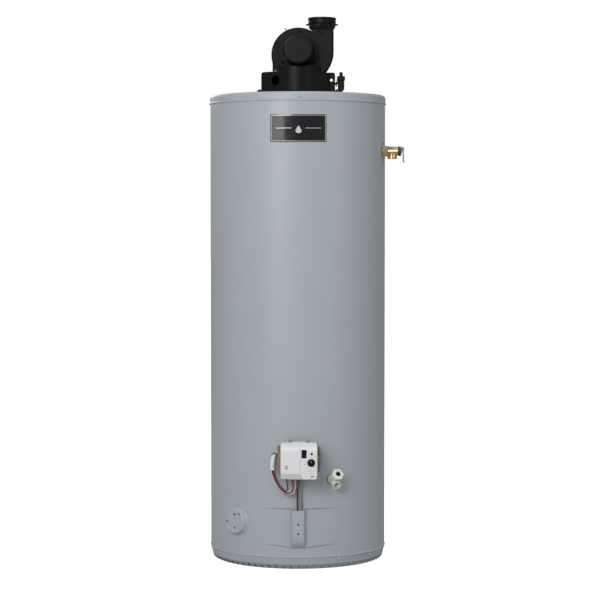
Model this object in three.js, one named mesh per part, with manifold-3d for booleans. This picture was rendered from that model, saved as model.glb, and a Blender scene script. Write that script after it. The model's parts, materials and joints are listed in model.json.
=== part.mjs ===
// A power-vent tank water heater: glass-lined tank in a foam-filled steel jacket, gas burner
// and control at the front, exhaust blower on top. Millimetres, +Z up, front towards -Y,
// origin on the tank's axis at floor level.
import * as THREE from "three";
import { mergeVertices } from "three/addons/utils/BufferGeometryUtils.js";
import Module from "manifold-3d";

const wasm = await Module();
wasm.setup();

// ---------------------------------------------------------------- driving dimensions
const GAP = 0.3; // left between pieces that touch
const ROUND = 60; // facets round the jacket, lid and pan
const TANK_ROUND = 24; // facets round the tank and the foam
const SHEET = 0.9; // jacket, lid and pan steel

const JACKET = { radius: 279.5, bottom: 37, top: 1452, beadRadius: 281.2 };
const LID = { top: 1477, skirtBottom: 1449.5, shoulder: 10, beadRadius: 282.6 };
const PAN = { footRadius: 261, wallRadius: 275, chamferTop: 15, top: 55 };

const TANK = { radius: 228, wall: 2.4, shoulder: 1335, crown: 65, floorEdge: 205, floorRise: 50 };
const FLUE = { radius: 51, wall: 2.5, bottom: 240, top: 1484 };
const NIPPLE = { x: 101.6, y: 150, radius: 13.35, bore: 10.5, bottom: 1352, top: 1527 };
const ANODE = { y: 175, radius: 10, plug: 13, head: 17, bottom: 500, top: 1486 };

const DOOR = { left: -23, right: 28.5, bottom: 78, top: 189, opening: 19 }; // degrees, then heights
const TUNNEL = { x: 1.5, face: 18.5, foot: 25.5, front: 299.5, top: 187, low: 92, bottom: 68 };
const DOOR_SCREW = { x: 1.3, upper: 143, lower: 115 };
const CHAMBER_DOOR = { span: 21, bottom: 62, top: 186 };
const CAP = { azimuth: -43, z: 142, foot: 48, face: 38, proud: 13, wall: 1.6 };

const CONTROL = { x: 3.4, z: 345, left: -63, right: 70.2, bottom: 301.5, top: 388, back: 283, front: 316 };
const COVER = { left: -52.5, right: 59.4, bottom: 292.3, top: 406.5, back: 316.3, front: 380, wall: 2.2 };
const COVER_STEP = { x: 6.7, depth: 3 };
const NOTCH = { left: -42, right: 2, top: 306 };
const KNOB = { x: 40.8, z: 345, radius: 11.5, height: 12 };
const ROCKER = { x: 19.1, z: 371.5, width: 12.4, height: 22.4 };
const LIGHT = { x: 42.3, z: 372.2, radius: 3.6 };
const GAS_TUBE = { x: 7.8, y: -291, radius: 4.75 };
const IGNITER_LEAD = { x: -1.6, y: -291.5, radius: 2 };

const RELIEF = { azimuth: 74, z: 1298.7, barrel: 14.6, outlet: 15, outletAt: 31.6, end: 59, drop: 25 };
const LEVER = { width: 12, thickness: 1.5, at: 66.4, length: 45, pivotRise: 8.6, pivotAt: 64.2 };
const DRAIN = { azimuth: 22.3, z: 280, stub: 12, joint: 14, tilt: 32, knobAcross: 35, outlet: 12.6, bore: 7 };
const SLEEVE_PORT = { azimuth: -14.9, z: 353 };
const BADGE = { left: -17.4, right: 18.3, bottom: 1322, top: 1406 };

const BLOWER = { x: 1.5, plateBottom: 1482, plateTop: 1488, left: -129, right: 132, depth: 122 };
const DRUM = { y: -42, radius: 76, top: 1569, wall: 3 };
const WING = { left: -116, right: 94, bracket: 119, top: 1550, lean: 30 };
const SCROLL = { x: 1.7, z: 1605.2, radius: 83.6, growth: 26.7, front: 66, seam: 60, back: -6, wall: 3 };
const NECK = { left: 44, right: 112, top: 1680 };
const OUTLET = { x: 77, y: -30, radius: 44.8, bore: 41.6, collarBottom: 1703, top: 1723.6, ears: 50.7 };
const BOSS_ANGLES = [90, 212, 328]; // the motor's three fixings, seen from the front
const MOTOR = { x: 1.5, z: 1616, radius: 45, flange: 57, back: 69.3, seam: 128, front: 150, shaft: 4 };
const IMPELLER = { radius: 62, eye: 44, blades: 9, back: 2, front: 50 };
const PLUG = { x: 138.4, y: 0, bottom: 1494.6, top: 1554 };

// ---------------------------------------------------------------- materials
const paint = (color, roughness, metalness) =>
  new THREE.MeshStandardMaterial({ color, roughness, metalness });
const greyPaint = paint(0x9ba0a7, 0.45, 0.2);
const bareSteel = paint(0x8d9093, 0.4, 0.9);
const castGrey = paint(0x8b8876, 0.6, 0.5);
const enamel = paint(0x35507a, 0.3, 0.1);
const foam = paint(0xd9c98e, 0.9, 0);
const blackPlastic = paint(0x1d1e20, 0.5, 0);
const blackGloss = paint(0x0d0d0e, 0.15, 0);
const whitePlastic = paint(0xe6e7e8, 0.45, 0);
const creamPlastic = paint(0xd7dec8, 0.5, 0);
const brass = paint(0xc49a5a, 0.35, 0.9);
const aluminium = paint(0xa9acae, 0.35, 0.9);
const zinc = paint(0xc6c8ca, 0.3, 0.9);
const glass = paint(0xbfd0d4, 0.05, 0);
const redWire = paint(0xb4283a, 0.5, 0);
const magnesium = paint(0xa7a9a6, 0.6, 0.7);
const fibre = paint(0xdcd8cc, 0.95, 0);
const windings = paint(0x8c5a34, 0.5, 0.5);

// ---------------------------------------------------------------- solids
const deg = THREE.MathUtils.degToRad;

// A closed geometry as a solid whose faces point out.
function solid(geometry, matrix = new THREE.Matrix4()) {
  const loose = geometry.index ? geometry.toNonIndexed() : geometry;
  const bare = new THREE.BufferGeometry();
  bare.setAttribute("position", loose.getAttribute("position").clone());
  const merged = mergeVertices(bare.applyMatrix4(matrix), 1e-3);
  const vertProperties = merged.attributes.position.array;
  const triVerts = new Uint32Array(merged.index.array);
  const made = new wasm.Manifold(new wasm.Mesh({ numProp: 3, vertProperties, triVerts }));
  if (made.volume() > 0) return made;
  for (let i = 0; i < triVerts.length; i += 3) {
    [triVerts[i], triVerts[i + 1]] = [triVerts[i + 1], triVerts[i]];
  }
  return new wasm.Manifold(new wasm.Mesh({ numProp: 3, vertProperties, triVerts }));
}

const join = (...solids) => solids.reduce((all, one) => all.add(one));
const cut = (body, ...tools) => tools.reduce((left, tool) => left.subtract(tool), body);

// The part's frame moved to a point.
const at = (x, y, z) => new THREE.Matrix4().makeTranslation(x, y, z);

// A frame on the jacket: x to the right as one faces it, y up, z straight out. The azimuth
// runs from the front, -Y, towards +X, and the distance is from the tank's axis.
function facing(azimuth, distance, z) {
  const a = deg(azimuth);
  const out = new THREE.Vector3(Math.sin(a), -Math.cos(a), 0);
  const right = new THREE.Vector3(Math.cos(a), Math.sin(a), 0);
  return new THREE.Matrix4()
    .makeBasis(right, new THREE.Vector3(0, 0, 1), out)
    .setPosition(out.x * distance, out.y * distance, z);
}
const FRONT = facing(0, 0, 0); // an elevation seen from the front: x, height, distance forward
const onFront = (x, height, distance = 0) => FRONT.clone().multiply(at(x, height, distance));

// A profile of [radius, height] points turned about Z. It starts and ends on the axis, or closes.
function turned(profile, segments = 32, matrix) {
  const points = profile.map(([r, z]) => new THREE.Vector2(r, z));
  return solid(new THREE.LatheGeometry(points, segments).rotateX(Math.PI / 2), matrix);
}

const rod = (r, low, high, segments = 24, matrix) =>
  turned([[0, low], [r, low], [r, high], [0, high]], segments, matrix);

const ring = (inner, outer, low, high, segments = 32, matrix) =>
  turned([[inner, low], [outer, low], [outer, high], [inner, high], [inner, low]], segments, matrix);

function box(left, right, near, far, low, high, matrix = new THREE.Matrix4()) {
  const shape = new THREE.BoxGeometry(right - left, far - near, high - low);
  shape.translate((left + right) / 2, (near + far) / 2, (low + high) / 2);
  return solid(shape, matrix);
}

// A flat outline given thickness from low to high along the frame's z.
function slab(outline, low, high, matrix, curveSegments = 5) {
  const options = { depth: high - low, bevelEnabled: false, curveSegments };
  return solid(new THREE.ExtrudeGeometry(outline, options).translate(0, 0, low), matrix);
}

function roundedRectangle(left, right, bottom, top, radius) {
  const outline = new THREE.Shape();
  outline.absarc(right - radius, bottom + radius, radius, -Math.PI / 2, 0, false);
  outline.absarc(right - radius, top - radius, radius, 0, Math.PI / 2, false);
  outline.absarc(left + radius, top - radius, radius, Math.PI / 2, Math.PI, false);
  outline.absarc(left + radius, bottom + radius, radius, Math.PI, Math.PI * 1.5, false);
  return outline;
}

// A piece of a ring between two azimuths, such as a panel that follows the jacket.
function sector(inner, outer, from, to, low, high, segments = 14) {
  const start = deg(from - 90);
  const end = deg(to - 90);
  const outline = new THREE.Shape();
  outline.absarc(0, 0, outer, start, end, false);
  outline.absarc(0, 0, inner, end, start, true);
  return slab(outline, low, high, undefined, segments);
}

function polygon(points) {
  return new THREE.Shape(points.map(([x, y]) => new THREE.Vector2(x, y)));
}

function hexagon(across) {
  const corner = across / Math.sqrt(3);
  const corners = [0, 60, 120, 180, 240, 300].map((a) => [
    corner * Math.cos(deg(a)),
    corner * Math.sin(deg(a)),
  ]);
  return polygon(corners);
}

// Closed rings of points, one above the other, skinned and capped.
function lofted(rings) {
  const sides = rings[0].length;
  const positions = [];
  const face = (...corners) => corners.forEach((p) => positions.push(p.x, p.y, p.z));
  const middle = (points) =>
    points.reduce((sum, p) => sum.add(p), new THREE.Vector3()).divideScalar(points.length);
  for (let k = 0; k + 1 < rings.length; k++) {
    for (let i = 0; i < sides; i++) {
      const j = (i + 1) % sides;
      face(rings[k][i], rings[k][j], rings[k + 1][j]);
      face(rings[k][i], rings[k + 1][j], rings[k + 1][i]);
    }
  }
  const first = rings[0];
  const last = rings[rings.length - 1];
  for (let i = 0; i < sides; i++) {
    const j = (i + 1) % sides;
    face(middle(first), first[j], first[i]);
    face(middle(last), last[i], last[j]);
  }
  const skin = new THREE.BufferGeometry();
  skin.setAttribute("position", new THREE.Float32BufferAttribute(positions, 3));
  return solid(skin);
}

// A ring of points between a circle (power 2) and a rounded square (higher powers).
function superellipse(x, y, z, halfX, halfY, power, sides = 24) {
  return Array.from({ length: sides }, (_, i) => {
    const a = (2 * Math.PI * i) / sides;
    const bend = (value) => Math.sign(value) * Math.abs(value) ** (2 / power);
    return new THREE.Vector3(x + halfX * bend(Math.cos(a)), y + halfY * bend(Math.sin(a)), z);
  });
}

// A round rod along a smooth route.
function swept(route, radius, sides, steps) {
  const section = new THREE.Shape();
  for (let i = 0; i < sides; i++) {
    const a = (2 * Math.PI * i) / sides;
    section[i ? "lineTo" : "moveTo"](radius * Math.cos(a), radius * Math.sin(a));
  }
  const extrudePath = new THREE.CatmullRomCurve3(route.map((p) => new THREE.Vector3(...p)));
  return solid(new THREE.ExtrudeGeometry(section, { steps, extrudePath }));
}

const heater = new THREE.Group();
function part(name, body, material) {
  const mesh = body.getMesh();
  const geometry = new THREE.BufferGeometry();
  geometry.setAttribute("position", new THREE.BufferAttribute(mesh.vertProperties, 3));
  geometry.setIndex(new THREE.BufferAttribute(mesh.triVerts, 1));
  geometry.computeVertexNormals();
  const piece = new THREE.Mesh(geometry, material);
  piece.name = name;
  heater.add(piece);
}

// ---------------------------------------------------------------- base pan, jacket and lid
function basePan() {
  const lip = JACKET.radius - SHEET - GAP;
  const outside = [
    [0, 0], [PAN.footRadius, 0], [PAN.wallRadius, PAN.chamferTop], [lip, 33], [lip, PAN.top],
  ];
  const inside = [
    [lip - SHEET, PAN.top], [lip - SHEET, 33], [PAN.wallRadius - SHEET, PAN.chamferTop],
    [PAN.footRadius - SHEET, 1.5], [0, 1.5],
  ];
  return turned([...outside, ...inside], ROUND);
}

function jacket() {
  const r = JACKET.radius;
  const shell = turned([
    [r, JACKET.top], [r - SHEET, JACKET.top], [r - SHEET, JACKET.bottom], [JACKET.beadRadius, JACKET.bottom],
    [JACKET.beadRadius, JACKET.bottom + 2.5], [r, JACKET.bottom + 5], [r, JACKET.top],
  ], ROUND);
  return cut(
    shell,
    sector(r - 9, r + 9, -DOOR.opening, DOOR.opening, DOOR.bottom + 10, DOOR.top - 8),
    rod(17, -12, 12, 16, facing(0, r, CONTROL.z).multiply(at(CONTROL.x, 0, 0))),
    rod(30, -12, 12, 24, facing(RELIEF.azimuth, r, RELIEF.z)),
    rod(17, -12, 12, 20, facing(DRAIN.azimuth, r, DRAIN.z)),
    rod(30, -12, 12, 20, facing(CAP.azimuth, r, CAP.z)),
    rod(10.5, -12, 12, 20, facing(SLEEVE_PORT.azimuth, r, SLEEVE_PORT.z)),
  );
}

function lid() {
  const inner = JACKET.radius + GAP;
  const outer = inner + SHEET;
  const shoulder = [0, 45, 90].map((a) => [
    outer - LID.shoulder * (1 - Math.cos(deg(a))),
    LID.top - LID.shoulder * (1 - Math.sin(deg(a))),
  ]);
  const under = [90, 0].map((a) => [
    inner - LID.shoulder * (1 - Math.cos(deg(a))),
    LID.top - SHEET - LID.shoulder * (1 - Math.sin(deg(a))),
  ]);
  const pan = turned([
    [0, LID.top - SHEET], ...under, [inner, LID.skirtBottom], [LID.beadRadius, LID.skirtBottom],
    [LID.beadRadius, LID.skirtBottom + 2], [outer, LID.skirtBottom + 4], ...shoulder, [0, LID.top],
  ], ROUND);
  return cut(
    pan,
    rod(FLUE.radius + 4, 1400, 1500, 32),
    rod(NIPPLE.radius + 2, 1400, 1500, 20, at(NIPPLE.x, NIPPLE.y, 0)),
    rod(NIPPLE.radius + 2, 1400, 1500, 20, at(-NIPPLE.x, NIPPLE.y, 0)),
    rod(ANODE.head + 3, 1400, 1500, 20, at(0, ANODE.y, 0)),
    rod(7, 1400, 1500, 16, at(PLUG.x, PLUG.y, 0)),
  );
}

function badge() {
  const r = JACKET.radius + GAP;
  return sector(r, r + 1.3, BADGE.left, BADGE.right, BADGE.bottom, BADGE.top, 12);
}

// A pressed cover over the round inspection port, shaped to sit on the curved jacket.
function inspectionCap() {
  const place = facing(CAP.azimuth, JACKET.radius, CAP.z);
  const outside = turned([
    [0, -6], [CAP.foot, -6], [CAP.foot, 1], [CAP.foot - 3, 3], [CAP.face + 2, CAP.proud - 2],
    [CAP.face - 1, CAP.proud], [0, CAP.proud],
  ], 28, place);
  const w = CAP.wall;
  const inside = turned([
    [0, -7], [CAP.foot - w, -7], [CAP.foot - w, 0], [CAP.foot - 3 - w, 2], [CAP.face + 1 - w, CAP.proud - 2 - w],
    [CAP.face - 2, CAP.proud - w], [0, CAP.proud - w],
  ], 28, place);
  return cut(outside, inside, rod(JACKET.radius + GAP, CAP.z - 80, CAP.z + 80, ROUND));
}

// ---------------------------------------------------------------- tank and flue
const topHead = (r) => TANK.shoulder + TANK.crown * (1 - (r / TANK.radius) ** 2);
const bottomHead = (r) => TANK.floorEdge + TANK.floorRise * (1 - (r / TANK.radius) ** 2);
const HEAD_STEPS = [0, 0.5, 1];

function domedHead(height, inner, outer) {
  const radii = HEAD_STEPS.map((t) => inner + (outer - inner) * t);
  const upper = radii.map((r) => [r, height(r)]);
  const lower = [...radii].reverse().map((r) => [r, height(r) - 3]);
  return turned([...upper, ...lower, upper[0]], TANK_ROUND);
}

function tank() {
  const bore = FLUE.radius + 3 * GAP;
  const shell = ring(TANK.radius - TANK.wall, TANK.radius, 1.9, TANK.shoulder, TANK_ROUND);
  const body = join(
    shell,
    domedHead(topHead, bore, TANK.radius),
    domedHead(bottomHead, bore, TANK.radius - 1),
  );
  const airSlots = [90, 270].map((a) =>
    box(-30, 30, 8, 33, -12, 12, facing(a, TANK.radius, 0)));
  return cut(
    body,
    ...airSlots,
    box(-75, 75, 72, 176, -30, 30, facing(0, TANK.radius, 0)),
    rod(NIPPLE.radius + GAP, 1300, 1420, 24, at(NIPPLE.x, NIPPLE.y, 0)),
    rod(NIPPLE.radius + GAP, 1300, 1420, 24, at(-NIPPLE.x, NIPPLE.y, 0)),
    rod(ANODE.plug + GAP, 1300, 1420, 24, at(0, ANODE.y, 0)),
    rod(12.3, -12, 12, 24, facing(0, TANK.radius, CONTROL.z).multiply(at(CONTROL.x, 0, 0))),
    rod(13.3, -12, 12, 24, facing(RELIEF.azimuth, TANK.radius, RELIEF.z)),
    rod(10.3, -12, 12, 24, facing(DRAIN.azimuth, TANK.radius, DRAIN.z)),
  );
}

function insulation() {
  const body = ring(TANK.radius + 3, JACKET.radius - 3, 60, 1445, TANK_ROUND);
  return cut(
    body,
    sector(TANK.radius - 5, JACKET.radius + 5, -30, 32, 50, 200),
    rod(20, -70, 12, 12, facing(0, JACKET.radius, CONTROL.z).multiply(at(CONTROL.x, 0, 0))),
    rod(32, -70, 12, 14, facing(RELIEF.azimuth, JACKET.radius, RELIEF.z)),
    rod(19, -70, 12, 12, facing(DRAIN.azimuth, JACKET.radius, DRAIN.z)),
    rod(32, -70, 12, 14, facing(CAP.azimuth, JACKET.radius, CAP.z)),
    rod(11, -22, 12, 16, facing(SLEEVE_PORT.azimuth, JACKET.radius, SLEEVE_PORT.z)),
  );
}

const flueTube = () => ring(FLUE.radius - FLUE.wall, FLUE.radius, FLUE.bottom, FLUE.top, TANK_ROUND);

// A folded strip that hangs in the flue and makes the hot gas zigzag.
function flueBaffle() {
  const folds = 20;
  const low = 300;
  const pitch = 56;
  const near = [];
  const far = [];
  for (let i = 0; i <= folds; i++) {
    const x = i % 2 ? 30 : -30;
    near.push([x - 1.2, low + i * pitch]);
    far.unshift([x + 1.2, low + i * pitch]);
  }
  const strip = slab(polygon([...near, ...far]), -26, 26, FRONT);
  const hanger = box(-44, 44, 1417, 1421, -8, 8, FRONT);
  return join(strip, hanger);
}

function nipple(side) {
  return ring(NIPPLE.bore, NIPPLE.radius, NIPPLE.bottom, NIPPLE.top, 20, at(side * NIPPLE.x, NIPPLE.y, 0));
}

const dipTube = () => ring(8.2, 9.8, 400, NIPPLE.top - 2, 14, at(NIPPLE.x, NIPPLE.y, 0));

function anodeRod() {
  const place = at(0, ANODE.y, 0);
  return join(
    rod(ANODE.radius, ANODE.bottom, 1360, 16, place),
    rod(ANODE.plug, 1355, 1470, 20, place),
    slab(hexagon(2 * ANODE.head), 1466, ANODE.top, place),
  );
}

// ---------------------------------------------------------------- burner and its door
function heatShield() {
  return turned([
    [96, 40], [214, 40], [214, 62], [212.5, 62], [212.5, 41.5], [96, 41.5], [96, 40],
  ], 24);
}

function flameArrestor() {
  const plate = rod(110, 42, 50, 24);
  const holes = [[0, 0], ...[...Array(8)].map((_, i) => [66, i * 45])];
  return cut(plate, ...holes.map(([r, a]) =>
    rod(14, 30, 60, 6, at(r * Math.cos(deg(a)), r * Math.sin(deg(a)), 0))));
}

function burner() {
  return turned([
    [16, 88], [24, 82], [26, 82], [20, 92], [112, 104], [118, 112], [116, 118], [0, 128],
    [0, 126], [114, 116.5], [116, 112], [110, 106], [18, 95], [16, 88],
  ], 20);
}

// The gas tube inside the chamber, ending in the brass orifice under the burner's throat.
function burnerTube() {
  const route = [[7.8, -226, 105], [7.8, -205, 98], [4, -150, 70], [1, -60, 60], [0, -22, 58], [0, -9, 61], [0, 0, 71]];
  const orifice = turned([[0, 69], [6.5, 69], [6.5, 77], [4, 80.5], [0, 80.5]], 12);
  return join(swept(route, 5, 8, 16), orifice);
}

function pilotIgniter() {
  return join(
    box(68, 92, -118, -115, 60, 134),
    box(68, 92, -118, -92, 128, 131),
    rod(3, 105, 148, 10, at(74, -104, 0)),
    rod(3, 105, 156, 10, at(86, -104, 0)),
  );
}

function chamberDoor() {
  const r = TANK.radius + 2.5;
  return cut(
    sector(r, r + 1.5, -CHAMBER_DOOR.span, CHAMBER_DOOR.span, CHAMBER_DOOR.bottom, CHAMBER_DOOR.top, 8),
    rod(12.4, -8, 8, 16, facing(-10, r, 140)),
    rod(5.4, -8, 8, 10, facing(1.9, r, 105)),
  );
}

function doorGasket() {
  const r = TANK.radius + GAP;
  return cut(
    sector(r, r + 1.9, -CHAMBER_DOOR.span, CHAMBER_DOOR.span, CHAMBER_DOOR.bottom, CHAMBER_DOOR.top, 8),
    sector(r - 5, r + 8, 1 - CHAMBER_DOOR.span, CHAMBER_DOOR.span - 1, 68, 180, 2),
  );
}

const sightGlass = () => rod(12, -0.7, 2.6, 16, facing(-10, TANK.radius + 2.5, 140));

// The removable outer door: a curved panel with a raised channel that covers the gas tube.
function outerDoor() {
  const r = JACKET.radius + 0.7;
  const panel = sector(r, r + 1.2, DOOR.left, DOOR.right, DOOR.bottom, DOOR.top, 14);
  const side = polygon([
    [272, TUNNEL.top], [TUNNEL.front - 3, TUNNEL.top], [TUNNEL.front, TUNNEL.top - 4],
    [TUNNEL.front, TUNNEL.low], [284, TUNNEL.bottom], [272, TUNNEL.bottom],
  ]);
  const sideways = new THREE.Matrix4().makeBasis(
    new THREE.Vector3(0, -1, 0), new THREE.Vector3(0, 0, 1), new THREE.Vector3(-1, 0, 0));
  const plan = (inset) => polygon([
    [TUNNEL.x - TUNNEL.foot + inset, -270], [TUNNEL.x - TUNNEL.foot + inset, -281],
    [TUNNEL.x - TUNNEL.face + inset / 2, inset - TUNNEL.front],
    [TUNNEL.x + TUNNEL.face - inset / 2, inset - TUNNEL.front],
    [TUNNEL.x + TUNNEL.foot - inset, -281], [TUNNEL.x + TUNNEL.foot - inset, -270],
  ]);
  const channel = slab(plan(0), TUNNEL.bottom, TUNNEL.top).intersect(slab(side, -40, 40, sideways));
  const hollow = slab(plan(1.4), TUNNEL.low + 4, TUNNEL.top + 5);
  const screws = [DOOR_SCREW.upper, DOOR_SCREW.lower].map((z) =>
    rod(2.3, TUNNEL.front - 6, TUNNEL.front + 4, 12, onFront(DOOR_SCREW.x, z)));
  return cut(join(panel, channel), hollow, rod(JACKET.radius + 0.7, 40, 230, ROUND), ...screws);
}

function doorScrew(z) {
  const f = TUNNEL.front;
  return turned([
    [0, f - 1.2], [2, f - 1.2], [2, f + GAP], [3.8, f + GAP], [3.4, f + 1.8], [0, f + 2.4],
  ], 12, onFront(DOOR_SCREW.x, z));
}

// ---------------------------------------------------------------- gas control
function controlBody() {
  const c = CONTROL;
  const casting = slab(roundedRectangle(c.left, c.right - 8, c.bottom, c.top, 6), c.back, c.front, FRONT);
  const inletAxis = new THREE.Matrix4().makeRotationY(Math.PI / 2).setPosition(0, -300, c.z);
  const boss = rod(15.4, 40, c.right, 18, inletAxis);
  return cut(
    join(casting, boss),
    rod(10.5, c.right - 20, c.right + 5, 16, inletAxis),
    rod(GAS_TUBE.radius + GAP, c.bottom - 5, c.bottom + 10, 16, at(GAS_TUBE.x, GAS_TUBE.y, 0)),
  );
}

// A moulded hood, open at the back, with a raised left half and a notch for the wires.
function controlCover() {
  const c = COVER;
  const hood = (inset, back, front, right = c.right) => {
    const outline = roundedRectangle(c.left + inset, right - inset, c.bottom + inset, c.top - inset, 9 - inset);
    const rounding = 4;
    const options = {
      depth: front - back - rounding, bevelThickness: rounding, bevelSize: rounding,
      bevelOffset: -rounding, bevelSegments: 1, curveSegments: 3,
    };
    const body = solid(new THREE.ExtrudeGeometry(outline, options).translate(0, 0, back), FRONT);
    return body.intersect(box(-200, 200, 0, 600, back, front + 1, FRONT));
  };
  const outside = join(
    hood(0, c.back, c.front - COVER_STEP.depth),
    hood(0, c.back, c.front, COVER_STEP.x),
  );
  const inside = hood(c.wall, c.back - 1, c.front - COVER_STEP.depth - c.wall);
  return cut(
    outside,
    inside,
    box(NOTCH.left, NOTCH.right, c.bottom - 5, NOTCH.top, c.back - 5, 352, FRONT),
    box(GAS_TUBE.x - 9, GAS_TUBE.x + 9, c.bottom - 5, c.bottom + 6, c.back - 5, c.back + 10, FRONT),
    rod(3.6, 360, 390, 16, onFront(KNOB.x, KNOB.z)),
    rod(LIGHT.radius + GAP, 360, 390, 16, onFront(LIGHT.x, LIGHT.z)),
    box(ROCKER.x - ROCKER.width / 2 - 0.5, ROCKER.x + ROCKER.width / 2 + 0.5,
      ROCKER.z - ROCKER.height / 2 - 0.5, ROCKER.z + ROCKER.height / 2 + 0.5, 360, 390, FRONT),
  );
}

const PANEL = COVER.front - COVER_STEP.depth; // how far forward the switch panel stands

function temperatureKnob() {
  const place = onFront(KNOB.x, KNOB.z, PANEL + 0.5);
  const r = KNOB.radius;
  const body = turned([
    [0, -9], [3, -9], [3, 0], [r, 0], [r, 4], [r - 1.5, 7], [r - 3, KNOB.height - 1], [r - 4, KNOB.height],
    [0, KNOB.height],
  ], 20, place);
  const pointer = box(-1, 1, 1, r - 3.5, KNOB.height - 1, KNOB.height + 2, place);
  return join(body, pointer);
}

// The rocker turns about a pin behind the panel, so its ends follow a circle.
function rockerSwitch() {
  const half = ROCKER.width / 2;
  const reach = ROCKER.height / 2 - 0.3;
  const side = new THREE.Shape();
  side.moveTo(-4, -reach + 1.6);
  side.lineTo(2.6, -reach + 0.6);
  side.lineTo(1.2, 0);
  side.lineTo(2.6, reach - 0.6);
  side.lineTo(-4, reach - 1.6);
  const turn = new THREE.Matrix4().makeBasis(
    new THREE.Vector3(0, -1, 0), new THREE.Vector3(0, 0, 1), new THREE.Vector3(-1, 0, 0));
  return slab(side, -half, half, at(ROCKER.x, -PANEL, ROCKER.z).multiply(turn));
}

function statusLight() {
  const r = LIGHT.radius;
  return turned([[0, -6], [r, -6], [r, 0.6], [r * 0.7, 1.8], [0, 2.2]], 16,
    onFront(LIGHT.x, LIGHT.z, PANEL));
}

// The probe that carries the control: a threaded boss through the jacket, then a rod in the water.
function thermowell() {
  const place = facing(0, 0, CONTROL.z).multiply(at(CONTROL.x, 0, 0));
  return turned([
    [0, 95], [4, 97], [5, 101], [5, 216], [12, 216], [12, CONTROL.back - GAP], [0, CONTROL.back - GAP],
  ], 20, place);
}

function coverScrew() {
  const r = 3.4;
  const place = new THREE.Matrix4().makeRotationY(-Math.PI / 2).setPosition(CONTROL.left - GAP, -300, 343);
  return turned([[0, 0], [r, 0], [r, 1.2], [r - 1, 2], [0, 2]], 12, place);
}

function coverClip(x) {
  const top = COVER.top + GAP;
  return join(
    box(x - 4.5, x + 4.5, top, top + 1.6, COVER.back - 9, 352, FRONT),
    box(x - 4.5, x + 4.5, top - 8, top + 1, COVER.back - 9, COVER.back - 1, FRONT),
  );
}

const gasTube = () => swept([
  [GAS_TUBE.x, GAS_TUBE.y, CONTROL.bottom + 9], [GAS_TUBE.x, GAS_TUBE.y, 280], [GAS_TUBE.x, GAS_TUBE.y, 220],
  [GAS_TUBE.x, GAS_TUBE.y, 160], [GAS_TUBE.x, -287, 128], [GAS_TUBE.x, -268, 109],
  [GAS_TUBE.x, -246, 105], [GAS_TUBE.x, -232.6, 105],
], GAS_TUBE.radius, 10, 20);

// ---------------------------------------------------------------- wires
// The sensor sleeve comes out of the jacket, turns down, and five wires hang from it to the control.
const SLEEVE_ROUTE = [[-71, -262, 353], [-73.5, -273, 352.4], [-76, -283, 347], [-77.6, -288, 336], [-78, -288, 322],
  [-78, -288, 311.4]];
const WIRE = { radius: 1.6, sides: 8, step: 9.5 };

function wireSleeve() {
  return cut(swept(SLEEVE_ROUTE, 7, 12, 10), rod(5.9, 300, 330, 12, at(-78, -288, 0)));
}

const WIRE_ROUTES = {
  wire_black: [[-75.4, -290.2, 316], [-75.4, -290.4, 310], [-70.4, -292.6, 294], [-61.4, -296, 274.6],
    [-48.6, -300.6, 257.4], [-38.6, -304.4, 249.4], [-31.6, -307.4, 252.6], [-31.5, -311, 264], [-34, -317, 281],
    [-36.5, -324, 297], [-36.8, -326, 303.5]],
  wire_red_left: [[-79.6, -291.4, 316], [-79.6, -291.6, 310], [-75.4, -293.6, 292.6], [-66, -297, 271.4],
    [-52.4, -301.8, 252.4], [-39, -306, 243.4], [-25.4, -310, 242.6], [-16.5, -312.6, 250], [-14.5, -315.4, 263],
    [-18, -320.6, 280], [-20.6, -326, 296], [-21, -328, 303.5]],
  wire_white_left: [[-81.4, -287.4, 316], [-81.4, -287.6, 310], [-77, -289.4, 292], [-67, -293, 270],
    [-52.8, -297.6, 250.4], [-38.4, -302, 240.8], [-24, -305.6, 239], [-12.8, -308.6, 245.8], [-8, -311.6, 258],
    [-7, -316, 275], [-10, -323, 294], [-11, -326, 303.5]],
  wire_red_right: [[-78.6, -284.6, 316], [-78.6, -284.8, 310], [-74.2, -286.4, 292.6], [-64.4, -290, 271.6],
    [-51, -294.4, 253.4], [-37, -299.2, 244], [-23.6, -302.2, 242.2], [-11.2, -305, 247.4], [-3.8, -308.4, 259],
    [-1.6, -313.5, 275], [-3.6, -321.5, 293.5], [-5, -325, 303.5]],
  wire_white_right: [[-75.2, -286.2, 316], [-75.2, -286.4, 310], [-70.8, -288.2, 293.8], [-61.4, -291.8, 274.2],
    [-48.6, -296.4, 257], [-37, -301, 248.6], [-26, -304.6, 248.6], [-20.4, -308, 256.5], [-20, -312, 268],
    [-24, -319, 284], [-27, -325, 297], [-27.5, -326.5, 303.5]],
};

function wire(route) {
  const length = new THREE.CatmullRomCurve3(route.map((p) => new THREE.Vector3(...p))).getLength();
  return swept(route, WIRE.radius, WIRE.sides, Math.round(length / WIRE.step));
}

const igniterLead = () => swept([
  [IGNITER_LEAD.x, -296, CONTROL.bottom - GAP], [IGNITER_LEAD.x, -295.5, 280], [IGNITER_LEAD.x, -292.5, 240],
  [IGNITER_LEAD.x, IGNITER_LEAD.y, 170], [IGNITER_LEAD.x, -286, 148],
  [-4, -262, 124], [-6, -240, 116], [-6, -232.6, 116],
], IGNITER_LEAD.radius, 8, 20);

// ---------------------------------------------------------------- relief valve
const reliefPlace = facing(RELIEF.azimuth, JACKET.radius, RELIEF.z);

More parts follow.
